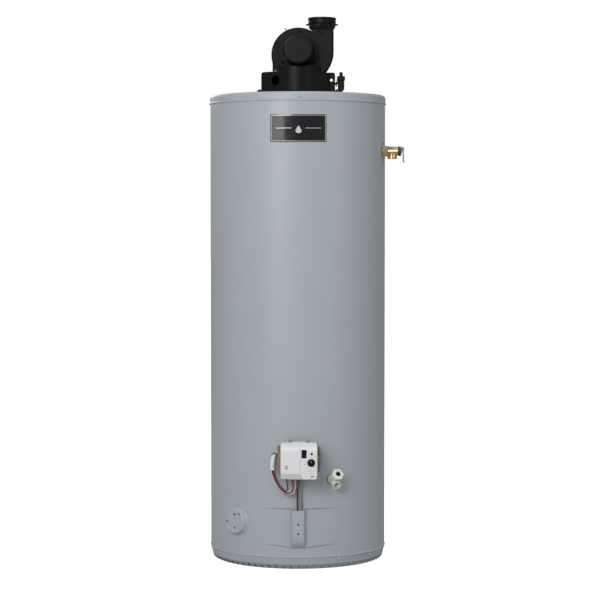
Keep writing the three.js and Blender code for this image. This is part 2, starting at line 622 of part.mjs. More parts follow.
function reliefValve() {
  const v = RELIEF;
  const barrel = turned([
    [0, -52], [13, -52], [13, -2], [13, 2], [12, 4], [12, 18], [v.barrel, 20], [v.barrel, 53.6],
    [v.barrel - 1.6, 54], [0, 54],
  ], 16, reliefPlace);
  const hex = slab(hexagon(32), 8, 18.5, reliefPlace);
  const bonnet = slab(hexagon(28), 53.5, v.end, reliefPlace);
  const downward = reliefPlace.clone().multiply(at(0, 0, v.outletAt))
    .multiply(new THREE.Matrix4().makeRotationX(Math.PI / 2));
  const outlet = turned([[0, 0], [v.outlet - 0.6, 0], [v.outlet - 0.6, 20], [v.outlet, 21], [v.outlet, v.drop],
    [0, v.drop]], 18, downward);
  const ear = (x) => box(x - 1, x + 1, LEVER.pivotRise - 5, LEVER.pivotRise + 4.5, v.end - 4, v.end + 8.4, reliefPlace);
  return cut(
    join(barrel, hex, bonnet, outlet, ear(-8.4), ear(8.4)),
    rod(10, 4, v.drop + 5, 16, downward),
    rod(9, -60, 36, 14, reliefPlace),
    rod(7, 35, 52.4, 12, reliefPlace),
    rod(3.2, 45, 70, 12, reliefPlace),
  );
}

const reliefStem = () => turned([
  [0, 42], [6, 42], [6, 46], [2.6, 48], [2.6, 62], [4.2, 62], [4.2, 65.4], [0, 65.4],
], 14, reliefPlace);

// The test lever hangs flat in front of the stem from a curl between the bonnet's ears.
function reliefLever() {
  const half = LEVER.width / 2;
  const low = LEVER.pivotRise - LEVER.length;
  const strap = box(-half, half, low, LEVER.pivotRise, LEVER.at, LEVER.at + LEVER.thickness, reliefPlace);
  const across = reliefPlace.clone().multiply(at(0, LEVER.pivotRise, LEVER.pivotAt))
    .multiply(new THREE.Matrix4().makeRotationY(Math.PI / 2));
  const curl = rod(3.6, -half, half, 16, across);
  const foot = box(-half, half, low, low + 2, LEVER.at, LEVER.at + 5, reliefPlace);
  return join(strap, curl, foot);
}

// ---------------------------------------------------------------- drain valve
const drainPlace = facing(DRAIN.azimuth, JACKET.radius, DRAIN.z);
const drainTilted = (degrees) => drainPlace.clone().multiply(at(0, 0, DRAIN.joint))
  .multiply(new THREE.Matrix4().makeRotationX(-deg(degrees)));

function drainValve() {
  const stub = rod(DRAIN.stub, -4, DRAIN.joint + 8, 16, drainPlace);
  const spud = rod(10, -60, -3, 12, drainPlace);
  const flange = rod(15.5, 1.2, 4, 16, drainPlace);
  const up = turned([[0, -2], [11.5, -2], [12.5, 12], [12.5, 25.5], [0, 25.5]], 16, drainTilted(DRAIN.tilt));
  const down = turned([[0, -4], [11.5, -4], [DRAIN.outlet - 1, 12], [DRAIN.outlet, 14], [DRAIN.outlet, 30], [0, 30]],
    18, drainTilted(-DRAIN.tilt));
  return cut(
    join(stub, spud, flange, up, down),
    rod(DRAIN.bore, 4, 40, 12, drainTilted(-DRAIN.tilt)),
    rod(6.5, -70, 10, 12, drainPlace),
  );
}

function drainKnob() {
  const place = drainTilted(DRAIN.tilt);
  return cut(
    slab(hexagon(DRAIN.knobAcross), 26, 41, place),
    rod(7, 36, 45, 14, place),
  );
}

// ---------------------------------------------------------------- blower
const motorAxis = onFront(MOTOR.x, MOTOR.z);

function voluteOutline(inset, top) {
  const s = SCROLL;
  const steps = 10;
  const outline = new THREE.Shape();
  outline.moveTo(NECK.right - inset, top);
  for (let i = 0; i <= steps; i++) {
    const left = 1 - i / steps;
    const r = s.radius + s.growth * left ** 1.5 - inset;
    const a = -Math.PI * (1 - left);
    outline.lineTo(s.x + r * Math.cos(a), s.z + r * Math.sin(a));
  }
  const r = s.radius - inset;
  outline.absarc(s.x, s.z, r, Math.PI, Math.acos((NECK.left + inset - s.x) / r), true);
  outline.lineTo(NECK.left + inset, top);
  return outline;
}

function blowerGasket() {
  const b = BLOWER;
  return cut(
    box(b.left + 6, b.right - 6, -b.depth + 6, b.depth - 6, LID.top + GAP, b.plateBottom - GAP),
    rod(62, LID.top - 5, b.plateBottom + 5, 40),
    rod(NIPPLE.radius + 4, LID.top - 5, b.plateBottom + 5, 16, at(NIPPLE.x, NIPPLE.y, 0)),
    rod(NIPPLE.radius + 4, LID.top - 5, b.plateBottom + 5, 16, at(-NIPPLE.x, NIPPLE.y, 0)),
  );
}

function blowerBase() {
  const b = BLOWER;
  const plate = slab(roundedRectangle(b.left, b.right, -b.depth, b.depth, 14), b.plateBottom, b.plateTop);
  return cut(plate, rod(60, b.plateBottom - 5, b.plateTop + 5, 40));
}

// The drum over the flue, its two side wings and the duct behind the scroll, all one moulding.
function intakeHousing() {
  const plan = (inset) => {
    const lean = deg(WING.lean);
    const r = DRUM.radius - inset;
    const touch = (side) => [BLOWER.x + side * r * Math.sin(lean), DRUM.y - r * Math.cos(lean)];
    const reach = (side, x) => {
      const [tx, ty] = touch(side);
      return [x, ty + Math.abs(x - tx) * Math.tan(lean)];
    };
    const outline = new THREE.Shape();
    outline.moveTo(WING.left + inset, 64 - inset);
    outline.lineTo(...reach(-1, WING.left + inset));
    outline.absarc(BLOWER.x, DRUM.y, r, deg(-90 - WING.lean), deg(-90 + WING.lean), false);
    outline.lineTo(...reach(1, WING.right - inset));
    outline.lineTo(WING.right - inset, 64 - inset);
    return outline;
  };
  const floor = BLOWER.plateTop + GAP;
  const arch = (inset, low) => {
    const r = SCROLL.radius - 1 - inset;
    const outline = new THREE.Shape();
    outline.moveTo(SCROLL.x - r, low);
    outline.lineTo(SCROLL.x + r, low);
    outline.absarc(SCROLL.x, SCROLL.z, r, 0, Math.PI, false);
    return outline;
  };
  const w = DRUM.wall;
  const drumAt = at(BLOWER.x, DRUM.y, 0);
  const ductFront = SCROLL.back - 0.6;
  const outside = join(
    slab(plan(0), floor, WING.top, undefined, 8),
    turned([[0, floor], [DRUM.radius, floor], [DRUM.radius, DRUM.top - 5], [DRUM.radius - 1.5, DRUM.top - 1.5],
      [DRUM.radius - 5, DRUM.top], [0, DRUM.top]], 32, drumAt),
    slab(arch(0, floor), -64, ductFront, FRONT, 12),
  );
  const inside = join(
    slab(plan(w), floor - 1, WING.top - w, undefined, 8),
    rod(DRUM.radius - w, floor - 1, DRUM.top - w, 32, drumAt),
    slab(arch(w, floor - 1), -64 + w, ductFront - w, FRONT, 12),
  );
  const knockout = new THREE.Matrix4().makeRotationZ(-deg(WING.lean)).setPosition(-71, -88, 1522)
    .multiply(new THREE.Matrix4().makeRotationX(Math.PI / 2));
  const bracketOutline = roundedRectangle(WING.right - 4, WING.bracket, floor, WING.top, 7);
  const bracket = cut(
    slab(bracketOutline, 36, 40, FRONT),
    rod(4.6, 20, 60, 16, onFront(107, 1526)),
  );
  return cut(
    join(cut(outside, inside), bracket),
    slab(voluteOutline(-0.5, NECK.top), SCROLL.back - 0.4, SCROLL.front + 0.5, FRONT, 14),
    rod(MOTOR.flange + 1.4, SCROLL.front - 1, MOTOR.back + 6, 32, motorAxis),
    rod(32, SCROLL.back - 12, SCROLL.back + 1, 24, motorAxis),
    rod(15.5, -10, 10, 20, knockout),
  );
}

function scrollHousing() {
  const s = SCROLL;
  const body = slab(voluteOutline(0, NECK.top), s.back, s.seam, FRONT, 14);
  return cut(
    body,
    slab(voluteOutline(s.wall, NECK.top + 5), s.back + s.wall, s.seam + 1, FRONT, 14),
    rod(32, s.back - 1, s.back + s.wall + 1, 24, motorAxis),
  );
}

function scrollCover() {
  const s = SCROLL;
  const bosses = BOSS_ANGLES.map((a) =>
    rod(7, s.seam + GAP, s.front + 6, 14,
      motorAxis.clone().multiply(at(60 * Math.cos(deg(a)), 60 * Math.sin(deg(a)), 0))));
  const fin = box(s.radius - 6, s.radius + 9, -1.6, 1.6, s.seam + GAP, s.front,
    onFront(s.x, s.z).multiply(new THREE.Matrix4().makeRotationZ(deg(117))));
  return cut(
    join(
      slab(voluteOutline(0, NECK.top), s.seam + GAP, s.front, FRONT, 14),
      ring(47, MOTOR.flange, s.front - 1, s.front + 3, 32, motorAxis),
      ...bosses,
      fin,
      rod(5, s.front - 1, s.front + 3.5, 14, onFront(73, 1672)),
    ),
    rod(MOTOR.shaft + 3, s.seam - 5, s.front + 5, 20, motorAxis),
  );
}

// From the scroll's square neck to the round spigot that takes the vent pipe's coupling.
function ventOutlet() {
  const o = OUTLET;
  const midX = (NECK.left + NECK.right) / 2;
  const half = (NECK.right - NECK.left) / 2;
  const deep = (SCROLL.front - SCROLL.back) / 2;
  const low = NECK.top + GAP;
  const outside = lofted([
    superellipse(midX, o.y, low, half, deep, 7),
    superellipse(midX, o.y, low + 3, half, deep, 6),
    superellipse(o.x, o.y, low + 10, 41.2, 40.5, 2.6),
    superellipse(o.x, o.y, o.collarBottom, 42.5, 42.5, 2),
    superellipse(o.x, o.y, o.collarBottom + 0.6, o.radius, o.radius, 2),
    superellipse(o.x, o.y, o.top - 2, o.radius, o.radius, 2),
    superellipse(o.x, o.y, o.top, o.radius - 1, o.radius - 1, 2),
  ]);
  const inside = lofted([
    superellipse(midX, o.y, low - 1, half - 3, deep - 3, 7),
    superellipse(midX, o.y, low + 2, half - 3, deep - 3, 6),
    superellipse(o.x, o.y, low + 10, 38, 37.3, 2.4),
    superellipse(o.x, o.y, o.collarBottom + 2, o.bore, o.bore, 2),
    superellipse(o.x, o.y, o.top + 2, o.bore, o.bore, 2),
  ]);
  const ears = box(o.x - o.ears, o.x + o.ears, o.y - 7, o.y + 7, o.collarBottom, o.collarBottom + 5);
  return cut(join(outside, ears), inside);
}

function motorCase() {
  const m = MOTOR;
  const shell = join(
    ring(m.radius - 2.5, m.radius, m.back, m.seam, 32, motorAxis),
    cut(rod(46.6, m.back, m.back + 2.5, 32, motorAxis), rod(8, m.back - 1, m.back + 4, 20, motorAxis)),
  );
  const lugs = BOSS_ANGLES.map((a) => box(40, 52, -5, 5, m.back + 4.2, m.back + 7,
    motorAxis.clone().multiply(new THREE.Matrix4().makeRotationZ(deg(a)))));
  return cut(join(shell, ...lugs), rod(m.radius - 2.5, m.back + 2.5, m.seam + 5, 32, motorAxis));
}

function motorCap() {
  const m = MOTOR;
  const r = m.radius;
  return turned([
    [r, m.seam + GAP], [r, m.front - 4], [r - 1.4, m.front - 1.2], [r - 5, m.front], [0, m.front],
    [0, m.front - 2.5], [r - 4, m.front - 2.5], [r - 2.5, m.front - 4.5], [r - 2.5, m.seam + GAP],
    [r, m.seam + GAP],
  ], 32, motorAxis);
}

const motorStator = () => ring(22, MOTOR.radius - 3.5, 84, 116, 20, motorAxis);

// Shaft and rotor iron in one turned piece.
function motorShaft() {
  const r = MOTOR.shaft;
  return turned([[0, 14], [r, 14], [r, 86], [21, 86], [21, 114], [r, 114], [r, 140], [0, 140]], 14, motorAxis);
}

function impeller() {
  const i = IMPELLER;
  const hub = ring(MOTOR.shaft + 0.3, 9, 30, i.front, 14, motorAxis);
  const backplate = ring(8, i.radius, i.front - 2.5, i.front, 28, motorAxis);
  const rim = ring(i.eye, i.radius, i.back, i.back + 2, 28, motorAxis);
  const blades = Array.from({ length: i.blades }, (_, k) =>
    box(-1, 1, i.eye + 1, i.radius - 1, i.back + 1, i.front - 1,
      motorAxis.clone().multiply(new THREE.Matrix4().makeRotationZ(deg((k * 360) / i.blades)))
        .multiply(at(14, 0, 0)).multiply(new THREE.Matrix4().makeRotationZ(deg(14)))));
  return join(hub, backplate, rim, ...blades);
}

// ---------------------------------------------------------------- blower harness
const plugAt = at(PLUG.x, PLUG.y, 0);

function harnessSocket() {
  return turned([
    [0, 1468], [6.5, 1468], [6.5, LID.top + GAP], [11.5, LID.top + GAP], [11.5, LID.top + 2.5],
    [5.6, LID.top + 5], [5.6, PLUG.bottom - GAP], [0, PLUG.bottom - GAP],
  ], 20, plugAt);
}

function harnessPlug() {
  const p = PLUG;
  const body = slab(roundedRectangle(-10.2, 10.2, p.bottom, 1530, 5), -9, 9, onFront(p.x, 0));
  const collar = slab(roundedRectangle(-12.8, 12.8, 1526, 1541, 4), -11, 11, onFront(p.x, 0));
  const boot = turned([[0, 1540], [5.8, 1540], [5.8, 1550], [4, p.top], [0, p.top]], 16, plugAt);
  const latch = slab(polygon([[-11, 1530], [-13.4, 1531], [-17, 1508], [-15.4, 1506], [-13.6, 1508]]), 3, 7,
    onFront(p.x, 0));
  return join(body, collar, boot, latch);
}

const harnessLead = () => swept([
  [PLUG.x, 11.4, 1534], [PLUG.x, 22, 1534], [PLUG.x - 2, 38, 1530], [PLUG.x - 12, 48, 1522],
  [PLUG.x - 26, 50, 1518], [PLUG.x - 43.9, 50, 1518],
], 3.6, 8, 12);

// ---------------------------------------------------------------- assembly
part("base_pan", basePan(), greyPaint);
part("jacket", jacket(), greyPaint);
part("lid", lid(), greyPaint);
part("badge", badge(), blackGloss);
part("inspection_cap", inspectionCap(), greyPaint);
part("tank", tank(), enamel);
part("insulation", insulation(), foam);
part("flue_tube", flueTube(), bareSteel);
part("flue_baffle", flueBaffle(), bareSteel);
part("cold_nipple", nipple(1), zinc);
part("hot_nipple", nipple(-1), zinc);
part("dip_tube", dipTube(), whitePlastic);
part("anode_rod", anodeRod(), magnesium);
part("heat_shield", heatShield(), bareSteel);
part("flame_arrestor", flameArrestor(), bareSteel);
part("burner", burner(), bareSteel);
part("burner_tube", burnerTube(), aluminium);
part("pilot_igniter", pilotIgniter(), bareSteel);
part("chamber_door", chamberDoor(), bareSteel);
part("door_gasket", doorGasket(), fibre);
part("sight_glass", sightGlass(), glass);
part("outer_door", outerDoor(), greyPaint);
part("door_screw_upper", doorScrew(DOOR_SCREW.upper), zinc);
part("door_screw_lower", doorScrew(DOOR_SCREW.lower), zinc);
part("control_body", controlBody(), castGrey);
part("control_cover", controlCover(), whitePlastic);
part("temperature_knob", temperatureKnob(), blackPlastic);
part("rocker_switch", rockerSwitch(), blackPlastic);
part("status_light", statusLight(), blackGloss);
part("thermowell", thermowell(), brass);
part("cover_screw", coverScrew(), zinc);
part("cover_clip_left", coverClip(-23), bareSteel);
part("cover_clip_right", coverClip(31), bareSteel);
part("gas_tube", gasTube(), aluminium);
part("wire_sleeve", wireSleeve(), whitePlastic);
part("igniter_lead", igniterLead(), blackPlastic);
for (const [name, route] of Object.entries(WIRE_ROUTES)) {
  const colour = name.includes("red") ? redWire : name.includes("white") ? whitePlastic : blackPlastic;
  part(name, wire(route), colour);
}
part("relief_valve", reliefValve(), brass);
part("relief_stem", reliefStem(), bareSteel);
part("relief_lever", reliefLever(), zinc);
part("drain_valve", drainValve(), creamPlastic);
part("drain_knob", drainKnob(), creamPlastic);
part("blower_gasket", blowerGasket(), fibre);
part("blower_base", blowerBase(), blackPlastic);
part("intake_housing", intakeHousing(), blackPlastic);
part("scroll_housing", scrollHousing(), blackPlastic);
part("scroll_cover", scrollCover(), blackPlastic);
part("vent_outlet", ventOutlet(), blackPlastic);
part("motor_case", motorCase(), blackPlastic);
part("motor_cap", motorCap(), blackPlastic);
part("motor_stator", motorStator(), windings);
part("motor_shaft", motorShaft(), bareSteel);
part("impeller", impeller(), blackPlastic);
part("harness_socket", harnessSocket(), blackPlastic);
part("harness_plug", harnessPlug(), blackPlastic);
part("harness_lead", harnessLead(), blackPlastic);

export default heater;
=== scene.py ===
"""A power-vent tank water heater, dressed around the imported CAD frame.

Shapes are worked out in millimetres, in the frame's own axes: Z up, front towards -Y, origin on
the tank's axis at floor level. mesh_object() turns them into metres.
"""

import json
import math

import bmesh
import bpy
from mathutils import Matrix, Vector


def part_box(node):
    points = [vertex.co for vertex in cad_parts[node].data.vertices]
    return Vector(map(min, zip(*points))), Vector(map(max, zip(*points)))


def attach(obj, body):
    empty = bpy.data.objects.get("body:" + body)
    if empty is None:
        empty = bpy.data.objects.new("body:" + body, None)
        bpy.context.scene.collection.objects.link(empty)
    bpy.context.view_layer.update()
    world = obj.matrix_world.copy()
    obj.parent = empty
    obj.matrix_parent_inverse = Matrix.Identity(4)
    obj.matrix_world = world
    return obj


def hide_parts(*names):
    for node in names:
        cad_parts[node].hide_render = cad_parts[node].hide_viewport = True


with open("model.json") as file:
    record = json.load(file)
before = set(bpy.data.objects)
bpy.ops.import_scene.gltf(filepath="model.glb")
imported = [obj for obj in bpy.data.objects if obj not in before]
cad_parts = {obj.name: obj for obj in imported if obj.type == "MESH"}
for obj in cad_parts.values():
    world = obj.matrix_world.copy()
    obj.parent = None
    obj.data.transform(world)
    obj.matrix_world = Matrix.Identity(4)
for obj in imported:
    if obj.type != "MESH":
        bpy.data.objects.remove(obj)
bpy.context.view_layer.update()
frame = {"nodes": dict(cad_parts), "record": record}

MM = 0.001
scene = bpy.context.scene


def corners(node):
    """A CAD node's lowest and highest corners, in millimetres."""
    low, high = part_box(node)
    return low / MM, high / MM


# ------------------------------------------------------------------ driving dimensions
JACKET_LOW, JACKET_HIGH = corners("jacket")
BEAD = 1.7  # how far the rolled edges stand out
RADIUS = JACKET_HIGH.x - BEAD
LID_LOW, LID_HIGH = corners("lid")
SHEET = 0.9
ROUND = 256  # facets round the jacket, lid and pan

RELIEF = {"azimuth": 74, "z": 1298.7, "hole": 30}
DRAIN = {"azimuth": 22.3, "z": 280, "joint": 14, "tilt": 32}
CAP = {"azimuth": -43, "z": 142, "foot": 48, "face": 38, "proud": 13}
SLEEVE_PORT = {"azimuth": -14.9, "z": 353, "hole": 10.5}
TUNNEL = {"x": 1.5, "face": 18.5, "foot": 25.5, "proud": 20, "top": 187, "low": 92, "bottom": 68}
COVER = {"left": -52.5, "right": 59.4, "bottom": 292.3, "top": 406.5, "back": 316.3, "front": 380}
PANEL = COVER["front"] - 3  # the switch panel's face
SCROLL = {"x": 1.7, "z": 1605.2, "radius": 83.6, "growth": 26.7, "front": 66, "seam": 60, "back": -6}
NECK = {"left": 44, "right": 112, "top": 1680}
OUTLET = {"x": 77, "y": -30, "radius": 44.8, "bore": 41.6, "shelf": 1703, "top": 1723.6}
DRUM = {"x": 1.5, "y": -42, "radius": 76, "top": 1569}
WING = {"left": -116, "right": 94, "bracket": 119, "top": 1550, "lean": 30, "floor": 1488.3}
MOTOR = {"x": 1.5, "z": 1616, "radius": 45, "back": 69.3, "seam": 128, "front": 150}
BOSS_ANGLES = (90, 212, 328)
PLUG = {"x": 138.4, "bottom": 1494.6, "top": 1554}
NIPPLE = {"x": 101.6, "y": 150, "radius": 13.35, "bore": 10.5}  # the two water pipes, left and right
ANODE_Y = 175
LOUVRES = 72  # round the base pan
BADGE_LEFT, BADGE_RIGHT = -17.4, 18.3  # the badge's edges, as azimuths


# ------------------------------------------------------------------ frames
def shift(x, y, z):
    return Matrix.Translation((x, y, z))


def turn(degrees, axis):
    return Matrix.Rotation(math.radians(degrees), 4, axis)


def facing(azimuth, distance=0.0, height=0.0):
    """A frame on the jacket: x to the right as one faces it, y up, z straight out."""
    a = math.radians(azimuth)
    right, out = Vector((math.cos(a), math.sin(a), 0)), Vector((math.sin(a), -math.cos(a), 0))
    spin = Matrix((right, Vector((0, 0, 1)), out)).transposed().to_4x4()
    return Matrix.Translation(out * distance + Vector((0, 0, height))) @ spin


FRONT = facing(0)
MOTOR_AXIS = FRONT @ shift(MOTOR["x"], MOTOR["z"], 0)
SIDEWAYS = Matrix(((0, 0, 1, 0), (0, -1, 0, 0), (1, 0, 0, 0), (0, 0, 0, 1)))  # (height, distance forward, x)


def on_jacket(azimuth, height, point):
    """The point (x along the wall, y up, z out) laid on the jacket round an azimuth and a height."""
    a = math.radians(azimuth) + point[0] / RADIUS
    r = RADIUS + point[2]
    return (r * math.sin(a), -r * math.cos(a), height + point[1])


# ------------------------------------------------------------------ outlines
def filleted(points, closed=True, steps=5):
    """An outline whose points may carry a radius as a third value, with an arc at each of those."""
    line = []
    for i, point in enumerate(points):
        ends = not closed and i in (0, len(points) - 1)
        if len(point) < 3 or not point[2] or ends:
            line.append((point[0], point[1]))
            continue
        corner = Vector(point[:2])
        before = Vector(points[i - 1][:2]) - corner
        after = Vector(points[(i + 1) % len(points)][:2]) - corner
        half = before.angle(after) / 2
        reach = min(point[2] / math.tan(half), 0.49 * before.length, 0.49 * after.length)
        radius = reach * math.tan(half)
        middle = corner + (before.normalized() + after.normalized()).normalized() * (radius / math.sin(half))
        first = corner + before.normalized() * reach - middle
        last = corner + after.normalized() * reach - middle
        start = math.atan2(first.y, first.x)
        sweep = (math.atan2(last.y, last.x) - start + math.pi) % (2 * math.pi) - math.pi
        for k in range(steps + 1):
            a = start + sweep * k / steps
            line.append((middle.x + radius * math.cos(a), middle.y + radius * math.sin(a)))
    return line


def rectangle(left, right, bottom, top, radius=0.0, steps=6):
    return filleted([(left, bottom, radius), (right, bottom, radius), (right, top, radius),
                     (left, top, radius)], steps=steps)


def hexagon(across):
    corner = across / math.sqrt(3)
    turns = (math.radians(a) for a in range(0, 360, 60))
    return [(corner * math.cos(turn), corner * math.sin(turn)) for turn in turns]


def circle(radius, steps=48, x=0.0, y=0.0):
    turns = (2 * math.pi * i / steps for i in range(steps))
    return [(x + radius * math.cos(a), y + radius * math.sin(a)) for a in turns]


# ------------------------------------------------------------------ meshes
def mesh_object(name, vertices, faces, place=None, sharp=35):
    """A mesh in metres from points in millimetres, smooth except at edges sharper than that angle."""
    place = place or Matrix()
    mesh = bpy.data.meshes.new(name)
    mesh.from_pydata([(place @ Vector(v)) * MM for v in vertices], [], faces)
    tidy = bmesh.new()
    tidy.from_mesh(mesh)
    bmesh.ops.remove_doubles(tidy, verts=tidy.verts, dist=1e-7)
    bmesh.ops.recalc_face_normals(tidy, faces=tidy.faces)
    tidy.to_mesh(mesh)
    tidy.free()
    piece = bpy.data.objects.new(name, mesh)
    scene.collection.objects.link(piece)
    smooth(piece, sharp)
    return piece


def smooth(piece, sharp=35):
    piece.data.shade_smooth()
    piece.data.set_sharp_from_angle(angle=math.radians(sharp))
    return piece


def skinned(name, rings, place=None, loop=False, caps=True, sharp=35):
    """Closed rings of as many points each, joined in order. A ring of one point ends in a tip."""
    vertices, starts = [], []
    for ring in rings:
        starts.append(len(vertices))
        vertices += ring
    faces = []
    pairs = list(zip(range(len(rings)), range(1, len(rings)))) + ([(len(rings) - 1, 0)] if loop else [])
    sides = max(len(ring) for ring in rings)
    for a, b in pairs:
        for i in range(sides):
            j = (i + 1) % sides
            quad = [starts[a] + i % len(rings[a]), starts[a] + j % len(rings[a]),
                    starts[b] + j % len(rings[b]), starts[b] + i % len(rings[b])]
            faces.append(list(dict.fromkeys(quad)))
    if caps and not loop:
        for k in (0, len(rings) - 1):
            if len(rings[k]) > 2:
                faces.append(list(range(starts[k], starts[k] + len(rings[k]))))
    return mesh_object(name, vertices, faces, place, sharp)


def lathe(name, profile, steps=96, place=None, sharp=35):
    """A profile of (radius, height) turned about Z, from the axis to the axis or closing on itself."""
    rings = []
    for radius, height in profile:
        if radius < 1e-6:
            rings.append([(0, 0, height)])
        else:
            rings.append([(x, y, height) for x, y in circle(radius, steps)])
    on_axis = profile[0][0] < 1e-6 and profile[-1][0] < 1e-6
    return skinned(name, rings, place, loop=not on_axis, caps=False, sharp=sharp)


def prism(name, outline, low, high, place=None, sharp=35):
    return skinned(name, [[(x, y, low) for x, y in outline], [(x, y, high) for x, y in outline]], place,
                   sharp=sharp)


def rod(name, radius, low, high, place=None, steps=48, edge=0.0):
    """A round rod whose ends have rounded edges."""
    profile = filleted([(0, low), (radius, low, edge), (radius, high, edge), (0, high)], closed=False,
                       steps=4)
    return lathe(name, profile, steps, place)


def evaluated(piece):
    """The piece with its modifiers made part of its mesh."""
    shown = piece.evaluated_get(bpy.context.evaluated_depsgraph_get())
    mesh = bpy.data.meshes.new_from_object(shown)
    piece.modifiers.clear()
    piece.data = mesh
    return piece


def combined(piece, others, operation="DIFFERENCE", sharp=35):
    """The piece with the others cut from it, added to it or met with it, which uses them up."""
    for other in others:
        step = piece.modifiers.new("combine", "BOOLEAN")
        step.operation = operation
        step.solver = "EXACT"
        step.object = other
        evaluated(piece)
        bpy.data.objects.remove(other)
    return smooth(piece, sharp)


def cut(piece, *tools):
    return combined(piece, tools)


def union(piece, *others):
    return combined(piece, others, "UNION")


def flat_true(piece):
    """Makes flat faces shade flat right up to a rounded edge."""
    even = piece.modifiers.new("normals", "WEIGHTED_NORMAL")
    even.keep_sharp = True
    even.weight = 100
    return piece


def gathered(name, pieces):
    """Several pieces as one object, their meshes side by side."""
    whole = bmesh.new()
    for piece in pieces:
        whole.from_mesh(piece.data)
    mesh = bpy.data.meshes.new(name)
    whole.to_mesh(mesh)
    whole.free()
    for piece in pieces:
        bpy.data.objects.remove(piece)
    result = bpy.data.objects.new(name, mesh)
    scene.collection.objects.link(result)
    return smooth(result)


def softened(piece, width, segments=3, angle=32):
    """Rounded edges on a piece, as its own geometry."""
    bevel = piece.modifiers.new("edges", "BEVEL")
    bevel.width = width * MM
    bevel.segments = segments
    bevel.limit_method = "ANGLE"
    bevel.angle_limit = math.radians(angle)
    bevel.harden_normals = False
    return smooth(evaluated(piece), 40)


def moulded(piece, voxel, rounds, keep=1.0):
    """One continuous skin over a piece built from solids, with its corners and joints filled and rounded."""
    remesh = piece.modifiers.new("skin", "REMESH")
    remesh.mode = "VOXEL"
    remesh.voxel_size = voxel * MM
    relax = piece.modifiers.new("relax", "SMOOTH")
    relax.factor = 0.5
    relax.iterations = rounds
    if keep < 1:
        thin = piece.modifiers.new("thin", "DECIMATE")
        thin.ratio = keep
    return smooth(evaluated(piece), 180)


def tube(name, points, radius, resolution=6):
    """A round cable or pipe along the points, which are in millimetres."""
    curve = bpy.data.curves.new(name, "CURVE")
    curve.dimensions = "3D"
    curve.bevel_depth = radius * MM
    curve.bevel_resolution = resolution
    curve.use_fill_caps = True
    spline = curve.splines.new("POLY")
    spline.points.add(len(points) - 1)
    for target, point in zip(spline.points, points):
        target.co = (*[value * MM for value in point], 1)
    piece = bpy.data.objects.new(name, curve)
    scene.collection.objects.link(piece)
    return piece


def smooth_route(route, per_span=8):
    """A centripetal Catmull-Rom line through the route's points."""
    points = [Vector(p) for p in route]
    padded = [2 * points[0] - points[1], *points, 2 * points[-1] - points[-2]]
    line = []
    for p0, p1, p2, p3 in zip(padded, padded[1:], padded[2:], padded[3:]):
        t1 = max((p1 - p0).length, 1e-6) ** 0.5
        t2 = t1 + max((p2 - p1).length, 1e-6) ** 0.5
        t3 = t2 + max((p3 - p2).length, 1e-6) ** 0.5
        for k in range(per_span):
            t = t1 + (t2 - t1) * k / per_span
            a1 = p0 * ((t1 - t) / t1) + p1 * (t / t1)
            a2 = p1 * ((t2 - t) / (t2 - t1)) + p2 * ((t - t1) / (t2 - t1))
            a3 = p2 * ((t3 - t) / (t3 - t2)) + p3 * ((t - t2) / (t3 - t2))
            b1 = a1 * ((t2 - t) / t2) + a2 * (t / t2)
            b2 = a2 * ((t3 - t) / (t3 - t1)) + a3 * ((t - t1) / (t3 - t1))
            line.append(b1 * ((t2 - t) / (t2 - t1)) + b2 * ((t - t1) / (t2 - t1)))
    return [*line, points[-1]]


def wrapped_sheet(name, left, right, bottom, top, height_at, azimuth=0.0, z=0.0, step=4.0, inner=0.2):
    """A curved panel on the jacket whose outer face stands height_at(x, y) above the wall."""
    columns = max(2, round((right - left) / step))
    rows = max(2, round((top - bottom) / step))
    vertices, faces = [], []
    for layer in (0, 1):
        for j in range(rows + 1):
            for i in range(columns + 1):
                x, y = left + (right - left) * i / columns, bottom + (top - bottom) * j / rows
                out = height_at(x, y) if layer else inner
                vertices.append(on_jacket(azimuth, z, (x, y, out)))
    width, size = columns + 1, (columns + 1) * (rows + 1)
    for layer in (0, 1):
        for j in range(rows):
            for i in range(columns):
                k = layer * size + j * width + i
                faces.append([k, k + 1, k + 1 + width, k + width])
    border = [*range(columns), *(columns + j * width for j in range(rows)),
              *(rows * width + i for i in range(columns, 0, -1)), *(j * width for j in range(rows, 0, -1))]
    for a, b in zip(border, [*border[1:], border[0]]):
        faces.append([a, b, b + size, a + size])
    return mesh_object(name, vertices, faces)


def screw(name, place, radius=3.6, height=2.2, drive="cross"):
    """A pan-head screw, sunk a little below its frame's z = 0, with its drive cut in the head."""
    head = lathe(name, filleted([(0, -0.6), (radius, -0.6), (radius, height * 0.45, 0.5),
                                 (radius * 0.55, height, radius * 0.3), (0, height)], closed=False), 32,
                 place)
    if drive == "cross":
        arms = [rectangle(-radius * 0.6, radius * 0.6, -0.45, 0.45),
                rectangle(-0.45, 0.45, -radius * 0.6, radius * 0.6)]
        cut(head, *[prism(f"{name}_arm", arm, height * 0.45, height + 1, place) for arm in arms])
    return head


def hex_screw(name, place, across=8.0, height=4.0, washer=6.4):
    """A washer-head hex screw."""
    flange = lathe(name, filleted([(0, -0.4), (washer, -0.4), (washer, 0.7, 0.4), (0, 1.2)], closed=False),
                   32, place)
    head = prism(f"{name}_head", hexagon(across), 0.6, height, place)
    dome = lathe(f"{name}_dome", [(0, 0), (across * 0.62, 0), (across * 0.62, height - 1.1),
                                  (across * 0.46, height), (0, height)], 32, place)
    return gathered(name, [flange, combined(head, [dome], "INTERSECT")])


# ------------------------------------------------------------------ materials
def node(material, kind, **values):
    made = material.node_tree.nodes.new(kind)
    for key, value in values.items():
        if key in made.inputs:
            made.inputs[key].default_value = value
        else:
            setattr(made, key, value)
    return made


